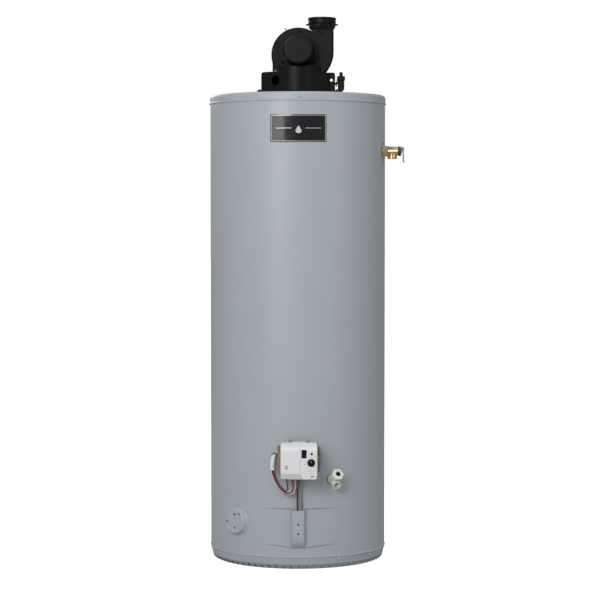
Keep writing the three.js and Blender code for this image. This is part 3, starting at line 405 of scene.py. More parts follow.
def noise(material, scale, detail=4.0, stretch=(1, 1, 1), roughness=0.55):
    """Noise on the object's own coordinates. Scale is features per metre, stretched on each axis."""
    links = material.node_tree.links
    where = node(material, "ShaderNodeTexCoord")
    mapping = node(material, "ShaderNodeMapping")
    mapping.inputs["Scale"].default_value = stretch
    texture = node(material, "ShaderNodeTexNoise")
    texture.inputs["Scale"].default_value = scale
    texture.inputs["Detail"].default_value = detail
    texture.inputs["Roughness"].default_value = roughness
    links.new(where.outputs["Object"], mapping.inputs["Vector"])
    links.new(mapping.outputs["Vector"], texture.inputs["Vector"])
    return texture.outputs["Fac"]


def mapped(material, value, low, high, to_low, to_high):
    remap = node(material, "ShaderNodeMapRange")
    for name, number in (("From Min", low), ("From Max", high), ("To Min", to_low), ("To Max", to_high)):
        remap.inputs[name].default_value = number
    material.node_tree.links.new(value, remap.inputs["Value"])
    return remap.outputs["Result"]


def blended(material, factor, first, second):
    """A mix of two colours, each a colour or another node's output, by a factor."""
    mix = node(material, "ShaderNodeMix", data_type="RGBA")
    links = material.node_tree.links
    links.new(factor, mix.inputs["Factor"])
    for socket, colour in ((mix.inputs[6], first), (mix.inputs[7], second)):
        if isinstance(colour, tuple):
            socket.default_value = (*colour, 1)
        else:
            links.new(colour, socket)
    return mix.outputs[2]


def finish(name, colour, roughness, metallic=0.0, mottle=(9, 0.06), grain=(900, 0.05), spread=0.06,
           stretch=(1, 1, 1), dust=0.0, wear=None, specular=0.5):
    """A material whose colour drifts, whose gloss varies and whose surface has a fine grain.

    mottle and grain are (features per metre, strength). dust greys what faces up. wear is the
    colour that shows along outer edges.
    """
    material = bpy.data.materials.new(name)
    material.use_nodes = True
    links = material.node_tree.links
    shader = material.node_tree.nodes["Principled BSDF"]
    shader.inputs["Metallic"].default_value = metallic
    shader.inputs["Specular IOR Level"].default_value = specular
    scale, amount = mottle
    drift = mapped(material, noise(material, scale, stretch=stretch), 0.3, 0.7, 0, 1)
    deep = tuple(max(c * (1 - amount), 0) for c in colour)
    pale = tuple(min(c * (1 + amount), 1) for c in colour)
    tint = blended(material, drift, deep, pale)
    rough = mapped(material, noise(material, scale * 7, 6, stretch), 0.3, 0.7, roughness - spread,
                   roughness + spread)
    if wear:
        shape = node(material, "ShaderNodeNewGeometry")
        edge = mapped(material, shape.outputs["Pointiness"], 0.53, 0.6, 0, 0.7)
        tint = blended(material, edge, tint, wear)
    if dust:
        shape = node(material, "ShaderNodeNewGeometry")
        split = node(material, "ShaderNodeSeparateXYZ")
        links.new(shape.outputs["Normal"], split.inputs["Vector"])
        lying = mapped(material, split.outputs["Z"], 0.5, 1, 0, dust)
        patchy = node(material, "ShaderNodeMath", operation="MULTIPLY")
        links.new(lying, patchy.inputs[0])
        links.new(mapped(material, noise(material, 60, 6), 0.35, 0.7, 0.3, 1), patchy.inputs[1])
        tint = blended(material, patchy.outputs[0], tint, (0.36, 0.35, 0.33))
    links.new(tint, shader.inputs["Base Color"])
    links.new(rough, shader.inputs["Roughness"])
    size, strength = grain
    bump = node(material, "ShaderNodeBump")
    bump.inputs["Strength"].default_value = strength
    bump.inputs["Distance"].default_value = 0.0006
    links.new(noise(material, size, 3, stretch), bump.inputs["Height"])
    links.new(bump.outputs["Normal"], shader.inputs["Normal"])
    return material


def make_materials():
    grey = (0.421, 0.458, 0.492)
    return {
        "jacket_paint": finish("grey_enamel", grey, 0.36, mottle=(5, 0.02), grain=(420, 0.05), spread=0.035,
                               specular=0.4),
        "badge_black": finish("badge_gloss", (0.006, 0.006, 0.007), 0.14, mottle=(30, 0.1),
                              grain=(900, 0.015)),
        "badge_print": finish("badge_silver", (0.62, 0.62, 0.63), 0.3, metallic=0.3, mottle=(80, 0.05)),
        "blower_black": finish("blower_plastic", (0.0042, 0.0043, 0.0046), 0.44, mottle=(25, 0.25),
                               grain=(1500, 0.08), spread=0.05, dust=0.01, specular=0.17),
        "motor_black": finish("motor_enamel", (0.0048, 0.0049, 0.0052), 0.42, mottle=(30, 0.2),
                              grain=(700, 0.06), dust=0.01, specular=0.18),
        "knob_black": finish("knob_plastic", (0.005, 0.005, 0.0055), 0.42, mottle=(60, 0.2),
                             grain=(1800, 0.1), specular=0.2),
        "lens_dark": finish("status_lens", (0.006, 0.007, 0.006), 0.08, mottle=(200, 0.2), grain=(900, 0.01)),
        "cover_white": finish("cover_plastic", (0.80, 0.80, 0.815), 0.36, mottle=(14, 0.02),
                              grain=(1400, 0.06)),
        "label_grey": finish("label_print", (0.30, 0.30, 0.32), 0.5, mottle=(420, 0.5), grain=(900, 0.02)),
        "label_pale": finish("label_pale", (0.62, 0.62, 0.65), 0.5, mottle=(300, 0.1), grain=(900, 0.02)),
        "drain_cream": finish("drain_plastic", (0.745, 0.75, 0.67), 0.42, mottle=(40, 0.04),
                              grain=(1300, 0.08)),
        "control_casting": finish("olive_casting", (0.23, 0.19, 0.11), 0.5, metallic=0.45, mottle=(60, 0.22),
                                  grain=(600, 0.35), wear=(0.42, 0.36, 0.26)),
        "brass": finish("machined_brass", (0.60, 0.41, 0.20), 0.24, metallic=1.0, mottle=(45, 0.2),
                        grain=(500, 0.05), spread=0.08, wear=(0.9, 0.72, 0.45)),
        "bonnet_bronze": finish("bonnet_bronze", (0.11, 0.085, 0.065), 0.4, metallic=0.7, mottle=(60, 0.2),
                                grain=(600, 0.1), wear=(0.26, 0.2, 0.14)),
        "dull_zinc": finish("dull_zinc", (0.40, 0.40, 0.41), 0.5, metallic=0.5, mottle=(60, 0.12),
                            grain=(700, 0.1)),
        "zinc": finish("zinc_plate", (0.62, 0.63, 0.64), 0.3, metallic=1.0, mottle=(60, 0.12),
                       grain=(700, 0.08)),
        "bare_steel": finish("bare_steel", (0.40, 0.40, 0.41), 0.38, metallic=1.0, mottle=(40, 0.18),
                             grain=(600, 0.12), wear=(0.6, 0.6, 0.6)),
        "aluminium": finish("drawn_aluminium", (0.34, 0.35, 0.355), 0.42, metallic=0.75, mottle=(160, 0.1),
                            grain=(900, 0.06), stretch=(1, 1, 0.04)),
        "tank_steel": finish("tank_enamel", (0.05, 0.07, 0.12), 0.45, mottle=(20, 0.3), grain=(300, 0.15)),
        "foam": finish("foam", (0.68, 0.56, 0.28), 0.9, mottle=(50, 0.16), grain=(260, 0.9), spread=0.04),
        "anode_magnesium": finish("magnesium", (0.40, 0.41, 0.40), 0.6, metallic=0.7, mottle=(80, 0.15),
                                  grain=(400, 0.3)),
        # painted shade: a dark grey for the strips that stand in for the shadow in the gaps round the burner
        # door
        "door_gap_shade": finish("door_gap_shade", (0.13, 0.135, 0.145), 0.8, mottle=(120, 0.3), grain=(900, 0.4)),
        "gasket": finish("fibre_gasket", (0.10, 0.10, 0.095), 0.85, mottle=(120, 0.3), grain=(900, 0.5)),
        "stator_core": finish("windings", (0.28, 0.13, 0.06), 0.45, metallic=0.6, mottle=(200, 0.3),
                              grain=(900, 0.4)),
        "wire_black": finish("wire_black", (0.012, 0.012, 0.013), 0.3, mottle=(90, 0.2), grain=(900, 0.05)),
        "wire_red": finish("wire_red", (0.42, 0.035, 0.06), 0.3, mottle=(90, 0.1), grain=(900, 0.05)),
        "wire_white": finish("wire_white", (0.72, 0.71, 0.70), 0.32, mottle=(90, 0.05), grain=(900, 0.05)),
        "sleeve_white": finish("sleeve", (0.76, 0.79, 0.77), 0.42, mottle=(120, 0.05), grain=(700, 0.12)),
        "dip_plastic": finish("dip_plastic", (0.62, 0.66, 0.70), 0.4),
        "sight_glass": finish("sight_glass", (0.45, 0.52, 0.52), 0.08, mottle=(40, 0.1), grain=(300, 0.02)),
    }


MATERIALS = make_materials()


def add(piece, slot, body="heater", replaces=(), finish_name=None):
    """Gives a piece its material and the body that it rides on."""
    piece.data.materials.clear()
    piece.data.materials.append(MATERIALS[finish_name or slot])
    if piece.type == "MESH":
        flat_true(piece)
    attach(piece, body)
    if replaces:
        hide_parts(*replaces)
    return piece


def repeated(name, slot, makers, body="heater"):
    """Many small alike pieces as one object."""
    return add(gathered(name, makers), slot, body)


# ------------------------------------------------------------------ camera, light and floor
def camera():
    data = bpy.data.cameras.new("camera")
    data.lens = 119.95
    data.shift_x = 0.0037
    data.clip_end = 200
    eye = bpy.data.objects.new("camera", data)
    eye.location = (0, -6.4244, 1.1024)
    eye.rotation_euler = (math.pi / 2 - 0.0433, 0, 0)
    scene.collection.objects.link(eye)
    scene.camera = eye


def softbox(name, location, aim, width, height, power):
    data = bpy.data.lights.new(name, "AREA")
    data.shape = "RECTANGLE"
    data.size, data.size_y = width, height
    data.energy = power
    lamp = bpy.data.objects.new(name, data)
    lamp.location = location
    lamp.rotation_euler = (Vector(location) - Vector(aim)).to_track_quat("Z", "Y").to_euler()
    scene.collection.objects.link(lamp)


def studio():
    """Bright even surroundings that the camera sees as white, a key light at front left, a white floor."""
    scene.view_settings.view_transform = "Standard"
    world = bpy.data.worlds.new("studio")
    scene.world = world
    world.use_nodes = True
    nodes, links = world.node_tree.nodes, world.node_tree.links
    nodes.clear()
    output = nodes.new("ShaderNodeOutputWorld")
    mix = nodes.new("ShaderNodeMixShader")
    path = nodes.new("ShaderNodeLightPath")
    seen, light = nodes.new("ShaderNodeBackground"), nodes.new("ShaderNodeBackground")
    seen.inputs["Color"].default_value = (1, 1, 1, 1)
    light.inputs["Color"].default_value = (0.96, 0.98, 1, 1)
    light.inputs["Strength"].default_value = 0.38
    links.new(path.outputs["Is Camera Ray"], mix.inputs["Fac"])
    links.new(light.outputs[0], mix.inputs[1])
    links.new(seen.outputs[0], mix.inputs[2])
    links.new(mix.outputs[0], output.inputs["Surface"])
    softbox("key", (-1.4, -5.0, 3.0), (0, 0, 1.3), 1.6, 2.2, 93)
    softbox("front", (-1.95, -3.9, 1.9), (0, 0, 1.2), 1.5, 2.0, 33)
    softbox("fill", (3.6, -3.4, 2.2), (0, 0, 0.8), 1.6, 2.4, 20)
    softbox("back", (-2.0, 4.2, 3.0), (0, 0, 0.9), 2.4, 2.4, 50)
    softbox("top", (0.4, -0.4, 4.6), (0, 0, 1.0), 2.6, 2.6, 22)

    # the camera sees the floor as white as the background, the object sees it as pale grey
    floor = mesh_object("floor", [(x * 1000, y * 1000, -0.4) for x, y in circle(40, 96)], [list(range(96))])
    plain = bpy.data.materials.new("floor")
    plain.use_nodes = True
    shader = plain.node_tree.nodes["Principled BSDF"]
    shader.inputs["Base Color"].default_value = (0.93, 0.93, 0.93, 1)
    shader.inputs["Roughness"].default_value = 0.6
    shader.inputs["Specular IOR Level"].default_value = 0.2
    shader.inputs["Emission Color"].default_value = (1, 1, 1, 1)
    shader.inputs["Emission Strength"].default_value = 0.8
    dull = plain.node_tree.nodes.new("ShaderNodeBsdfDiffuse")
    dull.inputs["Color"].default_value = (0.5, 0.5, 0.5, 1)
    choose = plain.node_tree.nodes.new("ShaderNodeMixShader")
    path = plain.node_tree.nodes.new("ShaderNodeLightPath")
    link = plain.node_tree.links.new
    link(path.outputs["Is Camera Ray"], choose.inputs["Fac"])
    link(dull.outputs[0], choose.inputs[1])
    link(shader.outputs[0], choose.inputs[2])
    link(choose.outputs[0], plain.node_tree.nodes["Material Output"].inputs["Surface"])
    floor.data.materials.append(plain)


# ------------------------------------------------------------------ wires
WIRE_RADIUS = 1.6
WIRE_ROUTES = {
    "wire_black": [
        (-75.4, -290.2, 316), (-75.4, -290.4, 310), (-70.4, -292.6, 294), (-61.4, -296, 274.6),
        (-48.6, -300.6, 257.4), (-38.6, -304.4, 249.4), (-31.6, -307.4, 252.6), (-31.5, -311, 264),
        (-34, -317, 281), (-36.5, -324, 297), (-36.8, -326, 303.5)],
    "wire_red_left": [
        (-79.6, -291.4, 316), (-79.6, -291.6, 310), (-75.4, -293.6, 292.6), (-66, -297, 271.4),
        (-52.4, -301.8, 252.4), (-39, -306, 243.4), (-25.4, -310, 242.6), (-16.5, -312.6, 250),
        (-14.5, -315.4, 263), (-18, -320.6, 280), (-20.6, -326, 296), (-21, -328, 303.5)],
    "wire_white_left": [
        (-81.4, -287.4, 316), (-81.4, -287.6, 310), (-77, -289.4, 292), (-67, -293, 270),
        (-52.8, -297.6, 250.4), (-38.4, -302, 240.8), (-24, -305.6, 239), (-12.8, -308.6, 245.8),
        (-8, -311.6, 258), (-7, -316, 275), (-10, -323, 294), (-11, -326, 303.5)],
    "wire_red_right": [
        (-78.6, -284.6, 316), (-78.6, -284.8, 310), (-74.2, -286.4, 292.6), (-64.4, -290, 271.6),
        (-51, -294.4, 253.4), (-37, -299.2, 244), (-23.6, -302.2, 242.2), (-11.2, -305, 247.4),
        (-3.8, -308.4, 259), (-1.6, -313.5, 275), (-3.6, -321.5, 293.5), (-5, -325, 303.5)],
    "wire_white_right": [
        (-75.2, -286.2, 316), (-75.2, -286.4, 310), (-70.8, -288.2, 293.8), (-61.4, -291.8, 274.2),
        (-48.6, -296.4, 257), (-37, -301, 248.6), (-26, -304.6, 248.6), (-20.4, -308, 256.5),
        (-20, -312, 268), (-24, -319, 284), (-27, -325, 297), (-27.5, -326.5, 303.5)],
}
SLEEVE_ROUTE = [(-71, -262, 353), (-73.5, -273, 352.4), (-76, -283, 347), (-77.6, -288, 336),
                (-78, -288, 322), (-78, -288, 311.4)]


def wires():
    for name, route in WIRE_ROUTES.items():
        line = smooth_route(route)
        slot = "wire_" + name.split("_")[1]
        piece = add(tube(f"cord_{name}", line, WIRE_RADIUS), slot, replaces=[name])


def sleeve():
    """The soft white sleeve that the wires come out of, with a rolled lip at its open end."""
    line = smooth_route(SLEEVE_ROUTE, 10)
    shell = tube("sleeve_outer", line, 7, 10)
    mesh = bpy.data.meshes.new_from_object(shell.evaluated_get(bpy.context.evaluated_depsgraph_get()))
    piece = bpy.data.objects.new("sensor_sleeve", mesh)
    scene.collection.objects.link(piece)
    bpy.data.objects.remove(shell)
    end = shift(*SLEEVE_ROUTE[-1])
    bore = rod("bore", 5.9, -5, 22, end)
    smooth(cut(piece, bore), 40)
    lip = lathe("sleeve_lip", filleted([(5.9, -0.2, 0.5), (7.5, -0.2, 0.8), (7.5, 3.2, 0.8), (6.8, 3.6),
                                        (5.9, 3.2)]), 40, end)
    add(gathered("sensor_sleeve", [piece, lip]), "sleeve_white", replaces=["wire_sleeve"])


# ------------------------------------------------------------------ jacket, lid and base
def jacket():
    low, high = JACKET_LOW.z, JACKET_HIGH.z
    r, inner = RADIUS, RADIUS - SHEET
    shell = lathe("jacket_shell", filleted([
        (inner, low), (r + BEAD, low, 0.8), (r + BEAD, low + 2.4, 0.8), (r, low + 4.4, 1.6), (r, low + 60),
        (r, high - 60), (r, high), (inner, high)]), ROUND)
    holes = [
        rod("hole", RELIEF["hole"], -12, 12, facing(RELIEF["azimuth"], r, RELIEF["z"]), 64),
        rod("hole", 17, -12, 12, facing(DRAIN["azimuth"], r, DRAIN["z"]), 48),
        rod("hole", 30, -12, 12, facing(CAP["azimuth"], r, CAP["z"]), 48),
        rod("hole", SLEEVE_PORT["hole"], -12, 12, facing(SLEEVE_PORT["azimuth"], r, SLEEVE_PORT["z"]), 40),
        rod("hole", 17, -12, 12, facing(0, r, 345) @ shift(3.4, 0, 0), 40),
        prism("hole", rectangle(-60, 60, -50, 42, 6), -14, 14, facing(0, r, 138)),
    ]
    add(cut(shell, *holes), "jacket_paint", replaces=["jacket"])

    # the wrap's lap seam, up the back, with its row of rivets
    low_z, high_z = low + 6, LID_LOW.z - 1
    add(wrapped_sheet("jacket_seam", -13, 13, 0, high_z - low_z, lambda x, y: 0.95 if abs(x) < 12 else 0.5,
                      azimuth=180, z=low_z, step=13, inner=-0.1), "jacket_paint")
    rivet = filleted([(0, -0.4), (3.1, -0.4), (3.1, 0.5, 0.4), (1.6, 1.5, 1), (0, 1.7)], closed=False)
    spots = [low_z + 30 + k * (high_z - low_z - 60) / 11 for k in range(12)]
    repeated("jacket_rivets", "jacket_paint",
             [lathe("rivet", rivet, 20, facing(180, RADIUS + 0.8, z)) for z in spots])


def relief_collar():
    """The foam dam's rubber ring showing in the jacket's cut-out round the relief valve."""
    inner, outer = 13.6, RELIEF["hole"] - 0.4
    rings = []
    for radius, out in ((outer, -3), (outer, -0.9), (outer - 1, -0.4), (inner + 3, -0.5), (inner, -1),
                        (inner, -4)):
        rings.append([on_jacket(RELIEF["azimuth"], RELIEF["z"], (x, y, out)) for x, y in circle(radius, 72)])
    add(skinned("relief_grommet", rings, loop=True), "jacket_paint")
    # a shallow rolled rim round the cut-out
    rim = []
    for radius, out in ((30.2, 0.05), (31.0, 1.3), (33.5, 1.5), (36, 0.8), (38, 0.05)):
        rim.append([on_jacket(RELIEF["azimuth"], RELIEF["z"], (x, y, out)) for x, y in circle(radius, 72)])
    add(skinned("relief_rim", rim, loop=True), "jacket_paint")


def lid():
    inner = RADIUS + 0.3
    outer = inner + SHEET
    top, low = LID_HIGH.z, LID_LOW.z
    bead = outer + 1.9
    pan = lathe("lid_pan", filleted([
        (0, top - SHEET), (inner, top - SHEET, 9), (inner, low), (bead, low, 0.8), (bead, low + 2.2, 0.8),
        (outer, low + 4.4, 1.6), (outer, top, 10), (outer - 24, top), (0, top)], closed=False, steps=8),
                ROUND)
    x, y = NIPPLE["x"], NIPPLE["y"]
    holes = [rod("hole", 55, 1400, 1500),
             *(rod("hole", 15.5, 1400, 1500, shift(side * x, y, 0)) for side in (-1, 1)),
             rod("hole", 20, 1400, 1500, shift(0, ANODE_Y, 0)),
             rod("hole", 7, 1400, 1500, shift(PLUG["x"], 0, 0))]
    add(cut(pan, *holes), "jacket_paint", replaces=["lid"])
    repeated("lid_screws", "zinc", [
        screw("lid_screw", facing(a, outer, top - 17), 3.4, 2.1) for a in (1, 61, 121, 181, 241, 301)])
    # plastic collars that centre the water nipples, one for hot and one for cold
    for name, side in (("hot_collar", -1), ("cold_collar", 1)):
        ring = filleted([(14.2, top - 2), (15.2, top - 2), (15.2, top), (20, top + 0.2, 0.6),
                         (18.5, top + 2.6, 1.2), (14.2, top + 3.2, 0.4)])
        add(lathe(name, ring, 48, shift(side * x, y, 0)), "knob_black")


def base_pan():
    high = corners("base_pan")[1]
    foot, wall, chamfer = 261, 275, 15
    lip = RADIUS - SHEET - 0.3
    upper = lathe("base_wall", filleted([
        (wall - 0.6, chamfer), (wall, chamfer, 0.6), (wall + 0.3, chamfer + 1.5), (lip - 0.5, 31),
        (lip, 33, 1), (lip, high.z), (lip - SHEET, high.z), (lip - SHEET, 33),
        (wall - SHEET, chamfer + 1)]), ROUND)
    floor = lathe("base_floor", filleted([
        (0, 0), (foot, 0, 0.6), (foot + 0.4, 1.5), (foot - 0.8, 1.9), (0, 1.9)], closed=False), ROUND)
    run = math.hypot(wall - foot, chamfer)
    span = 2 * math.pi / LOUVRES

    def slope(turn_to, along, out):
        """A point on the sloping band: an angle, how far up the slope, and how far out of it."""
        r = foot + (wall - foot) * along / run + out * chamfer / run
        z = chamfer * along / run - out * (wall - foot) / run
        return (r * math.sin(turn_to), -r * math.cos(turn_to), z)

    vertices, faces = [], []
    for k in range(LOUVRES):
        a = k * span
        half = span * foot / 2

        def point(u, along, out=0.0):
            return slope(a + u / foot, along, out)

        start = len(vertices)
        hole = [(-4.2, 3.0), (4.6, 3.0), (1.4, 16.5), (-4.2, 16.5)]
        vertices += [point(-half, 0), point(half, 0), point(half, run), point(-half, run)]
        vertices += [point(u, v) for u, v in hole]
        for i in range(4):
            j = (i + 1) % 4
            faces.append([start + i, start + j, start + 4 + j, start + 4 + i])
        # the tab lanced from the hole, bent out along its upright edge
        flap = len(vertices)
        vertices += [point(-4.2, 3.2), point(-4.2, 16.3), point(0.6, 15.4, 3.4), point(3.0, 4.2, 4.2)]
        faces.append([flap, flap + 1, flap + 2, flap + 3])
    band = mesh_object("base_louvres", vertices, faces, sharp=25)
    thick = band.modifiers.new("sheet", "SOLIDIFY")
    thick.thickness = SHEET * MM
    thick.offset = -1
    evaluated(band)
    add(gathered("base_shell", [upper, floor, smooth(band, 25)]), "jacket_paint", replaces=["base_pan"])
    repeated("base_screws", "zinc", [
        screw("base_screw", facing(a, lip - 0.6, z), 3.3, 2.2) for a, z in (
            (-29.1, 29.5), (28.3, 31), (88, 30), (148, 30), (-148, 30), (-88, 30))])


def badge():
    """A blank gloss plate with a thin pale border and a plain drop between two rules."""
    low, high = corners("badge")
    azimuth = (BADGE_LEFT + BADGE_RIGHT) / 2
    half = math.radians(BADGE_RIGHT - BADGE_LEFT) / 2 * RADIUS
    tall = (high.z - low.z) / 2
    middle = (high.z + low.z) / 2
    plate = wrapped_sheet("badge_plate", -half, half, -tall, tall,
                          lambda x, y: 1.5 if abs(x) < half - 0.5 and abs(y) < tall - 0.5 else 1.1,
                          azimuth, middle, step=3)
    add(plate, "badge_black", replaces=["badge"])

    def inlay(name, outline, hole=None, out=1.95):
        """A thin printed shape on the plate, as a raised film."""
        outer = [[on_jacket(azimuth, middle, (x, y, height)) for x, y in outline] for height in (1.4, out)]
        if hole is None:
            return skinned(name, outer)
        inner = [[on_jacket(azimuth, middle, (x, y, height)) for x, y in hole] for height in (out, 1.4)]
        return skinned(name, [*outer, *inner], loop=True)

    edge = 2.6
    frame_outer = dense(rectangle(-half + edge, half - edge, -tall + edge, tall - edge, 2))
    frame_inner = dense(rectangle(-half + edge + 1.1, half - edge - 1.1, -tall + edge + 1.1,
                                  tall - edge - 1.1, 1.2))
    drop = [(9 * math.sin(t) * (1 - math.cos(t)) / 1.3, -3 - 12.5 * math.cos(t + math.pi))
            for t in (2 * math.pi * k / 48 for k in range(48))]
    rules = [wrapped_sheet("rule", side * 46 - 24, side * 46 + 24, -0.9, 0.9, lambda x, y: 1.95, azimuth,
                           middle, step=3, inner=1.4) for side in (-1, 1)]
    print_marks = [inlay("border", frame_outer, frame_inner), inlay("drop", drop), *rules]
    add(gathered("badge_marks", print_marks), "badge_black", finish_name="badge_print")


def dense(outline, step=3.0):
    """The outline with points added so that it can follow the jacket's curve. Corners keep their points."""
    line = []
    for (x0, y0), (x1, y1) in zip(outline, [*outline[1:], outline[0]]):
        pieces = 60 if abs(x1 - x0) > step else max(1, round(abs(y1 - y0) / 30))
        line += [(x0 + (x1 - x0) * k / pieces, y0 + (y1 - y0) * k / pieces) for k in range(pieces)]
    return line


def inspection_cap():
    place = facing(CAP["azimuth"], RADIUS, CAP["z"])
    foot, face, proud = CAP["foot"], CAP["face"], CAP["proud"]
    profile = filleted([
        (0, proud - 1.6), (face - 3, proud - 1.6, 3), (face + 3.4, 0.4), (foot - 1, -20), (foot, -20),
        (foot, -19.2, 0.4), (face + 6.2, 1.0, 3), (face, proud, 4.5), (face - 6, proud),
        (face - 7.5, proud - 0.9), (0, proud - 0.9)], closed=False, steps=6)
    rings = []
    for radius, height in profile:
        points = circle(radius, 96) if radius > 1e-6 else [(0, 0)]
        gap = 0.5 if height <= -20 else 1.3
        rings.append([(x, y, math.sqrt(RADIUS**2 - x * x) - RADIUS + gap if height < -5 else height)
                      for x, y in points])
    cap = skinned("cap_shell", rings, place, caps=False)
    spots = ((2, 21), (1, -21), (-30, -3), (22, 24))
    holes = [rod("hole", 3.2, 0, 20, place @ shift(x, y, 0), 20) for x, y in spots]
    add(cut(cap, *holes), "jacket_paint", replaces=["inspection_cap"])
    repeated("cap_screws", "motor_black", [
        screw("cap_screw", place @ shift(x, y, proud - 3.4), 2.4, 1.6, drive="none")
        for x, y in spots])


def outer_door():
    """The curved burner door, feathered into the jacket at its ends, with a channel over the gas tube."""
    bottom, top = 78, 189
    left, right = -112, 139
    reach_left, reach_right = TUNNEL["x"] - TUNNEL["foot"], TUNNEL["x"] + TUNNEL["foot"]

    def near_channel(x):
        """0 at the door's ends, 1 at the channel."""
        return min(max((x - left) / (reach_left - left), 0), 1) if x < 0 else min(
            max((right - x) / (right - reach_right), 0), 1)

    def proud(x, y):
        return 0.7 + 3.0 * near_channel(x)**1.3

    def sagged(panel):
        """Lets the panel's lower edge dip towards the channel."""
        for vertex in panel.data.vertices:
            x, z = vertex.co.x / MM, vertex.co.z / MM
            vertex.co.z -= 7.5 * MM * (near_channel(x) ** 2) * (1 - (z - bottom) / (top - bottom))
        return panel

    panels = [
        sagged(wrapped_sheet("door_left", left, reach_left + 6, 0, top - bottom, proud, z=bottom, step=4,
                             inner=0.25)),
        sagged(wrapped_sheet("door_right", reach_right - 6, right, 0, top - bottom, proud, z=bottom, step=4,
                             inner=0.25))]
    # painted shadow: dark strips in the gaps along the door's top and bottom edges stand in for the gaps'
    # shade, narrowing away from the channel
    gap_shade_strips, wide = [], 1.4
    for edge, z in (("top", top + 0.05), ("bottom", bottom - wide)):
        for start, end in ((left + 10, reach_left + 4), (reach_right - 4, right - 10)):
            strip = wrapped_sheet(f"gap_shade_{edge}", start, end, 0, wide,
                                  lambda x, y: 0.3 + 1.2 * near_channel(x), z=z, step=4, inner=-0.2)
            kept = z if edge == "top" else z + wide
            for vertex in strip.data.vertices:
                share = min(0.2 + 1.1 * near_channel(vertex.co.x / MM), 1)
                vertex.co.z = kept * MM + (vertex.co.z - kept * MM) * share
            gap_shade_strips.append(sagged(strip))
    add(gathered("door_gap_shade", gap_shade_strips), "gasket", finish_name="door_gap_shade")

    def section(depth, wide, sill):
        """The channel's cross-section as an outline, from foot to foot and back inside."""
        t, x0 = TUNNEL, TUNNEL["x"]
        foot, face = t["foot"] * wide, t["face"] * wide
        out = filleted([(x0 - foot - 5, sill), (x0 - foot, sill + 0.6, 2), (x0 - face, depth, 3.2),
                        (x0 + face, depth, 3.2), (x0 + foot, sill + 0.6, 2), (x0 + foot + 5, sill)],
                       closed=False)
        back = filleted([(x0 + foot + 5, sill - 1), (x0 + foot - 1.4, sill - 0.8, 1),
                         (x0 + face - 1, depth - 1.4, 2), (x0 - face + 1, depth - 1.4, 2),
                         (x0 - foot + 1.4, sill - 0.8, 1), (x0 - foot - 5, sill - 1)], closed=False)
        return [*out, *back]

    levels = [(t, TUNNEL["proud"], 1.0) for t in (TUNNEL["top"], 184, 160, 130, 104, 98)]
    for k in range(1, 9):
        s = k / 8
        drop = TUNNEL["low"] + 4 - (TUNNEL["low"] + 4 - TUNNEL["bottom"]) * s
        levels.append((drop, 2.6 + (TUNNEL["proud"] - 2.6) * math.cos(s * math.pi / 2) ** 0.9,
                       1 - 0.12 * s * s))
    rings = []
    for z, depth, wide in levels:
        ring = []
        for x, out in section(depth, wide, 2.0):
            ring.append((x, -math.sqrt(RADIUS**2 - x * x) - out if out < 4 else -(RADIUS + out), z))
        rings.append(ring)
    channel = skinned("door_channel", rings, sharp=30)
    face = RADIUS + TUNNEL["proud"]
    pad = softened(prism("door_pad", rectangle(-14.5, 17.5, 98.5, 166, 3), face - 1.2, face + 0.9, FRONT),
                   0.7, 3)
    door = gathered("door_shell", [*panels, channel, pad])
    add(door, "jacket_paint", "outer_door", replaces=["outer_door"])
    for name, z in (("door_screw_upper", 143), ("door_screw_lower", 115)):
        add(screw(f"{name}_head", facing(0, face + 0.8, z) @ shift(1.3, 0, 0), 2.8, 1.8), "zinc",
            "outer_door", replaces=[name], finish_name="motor_black")


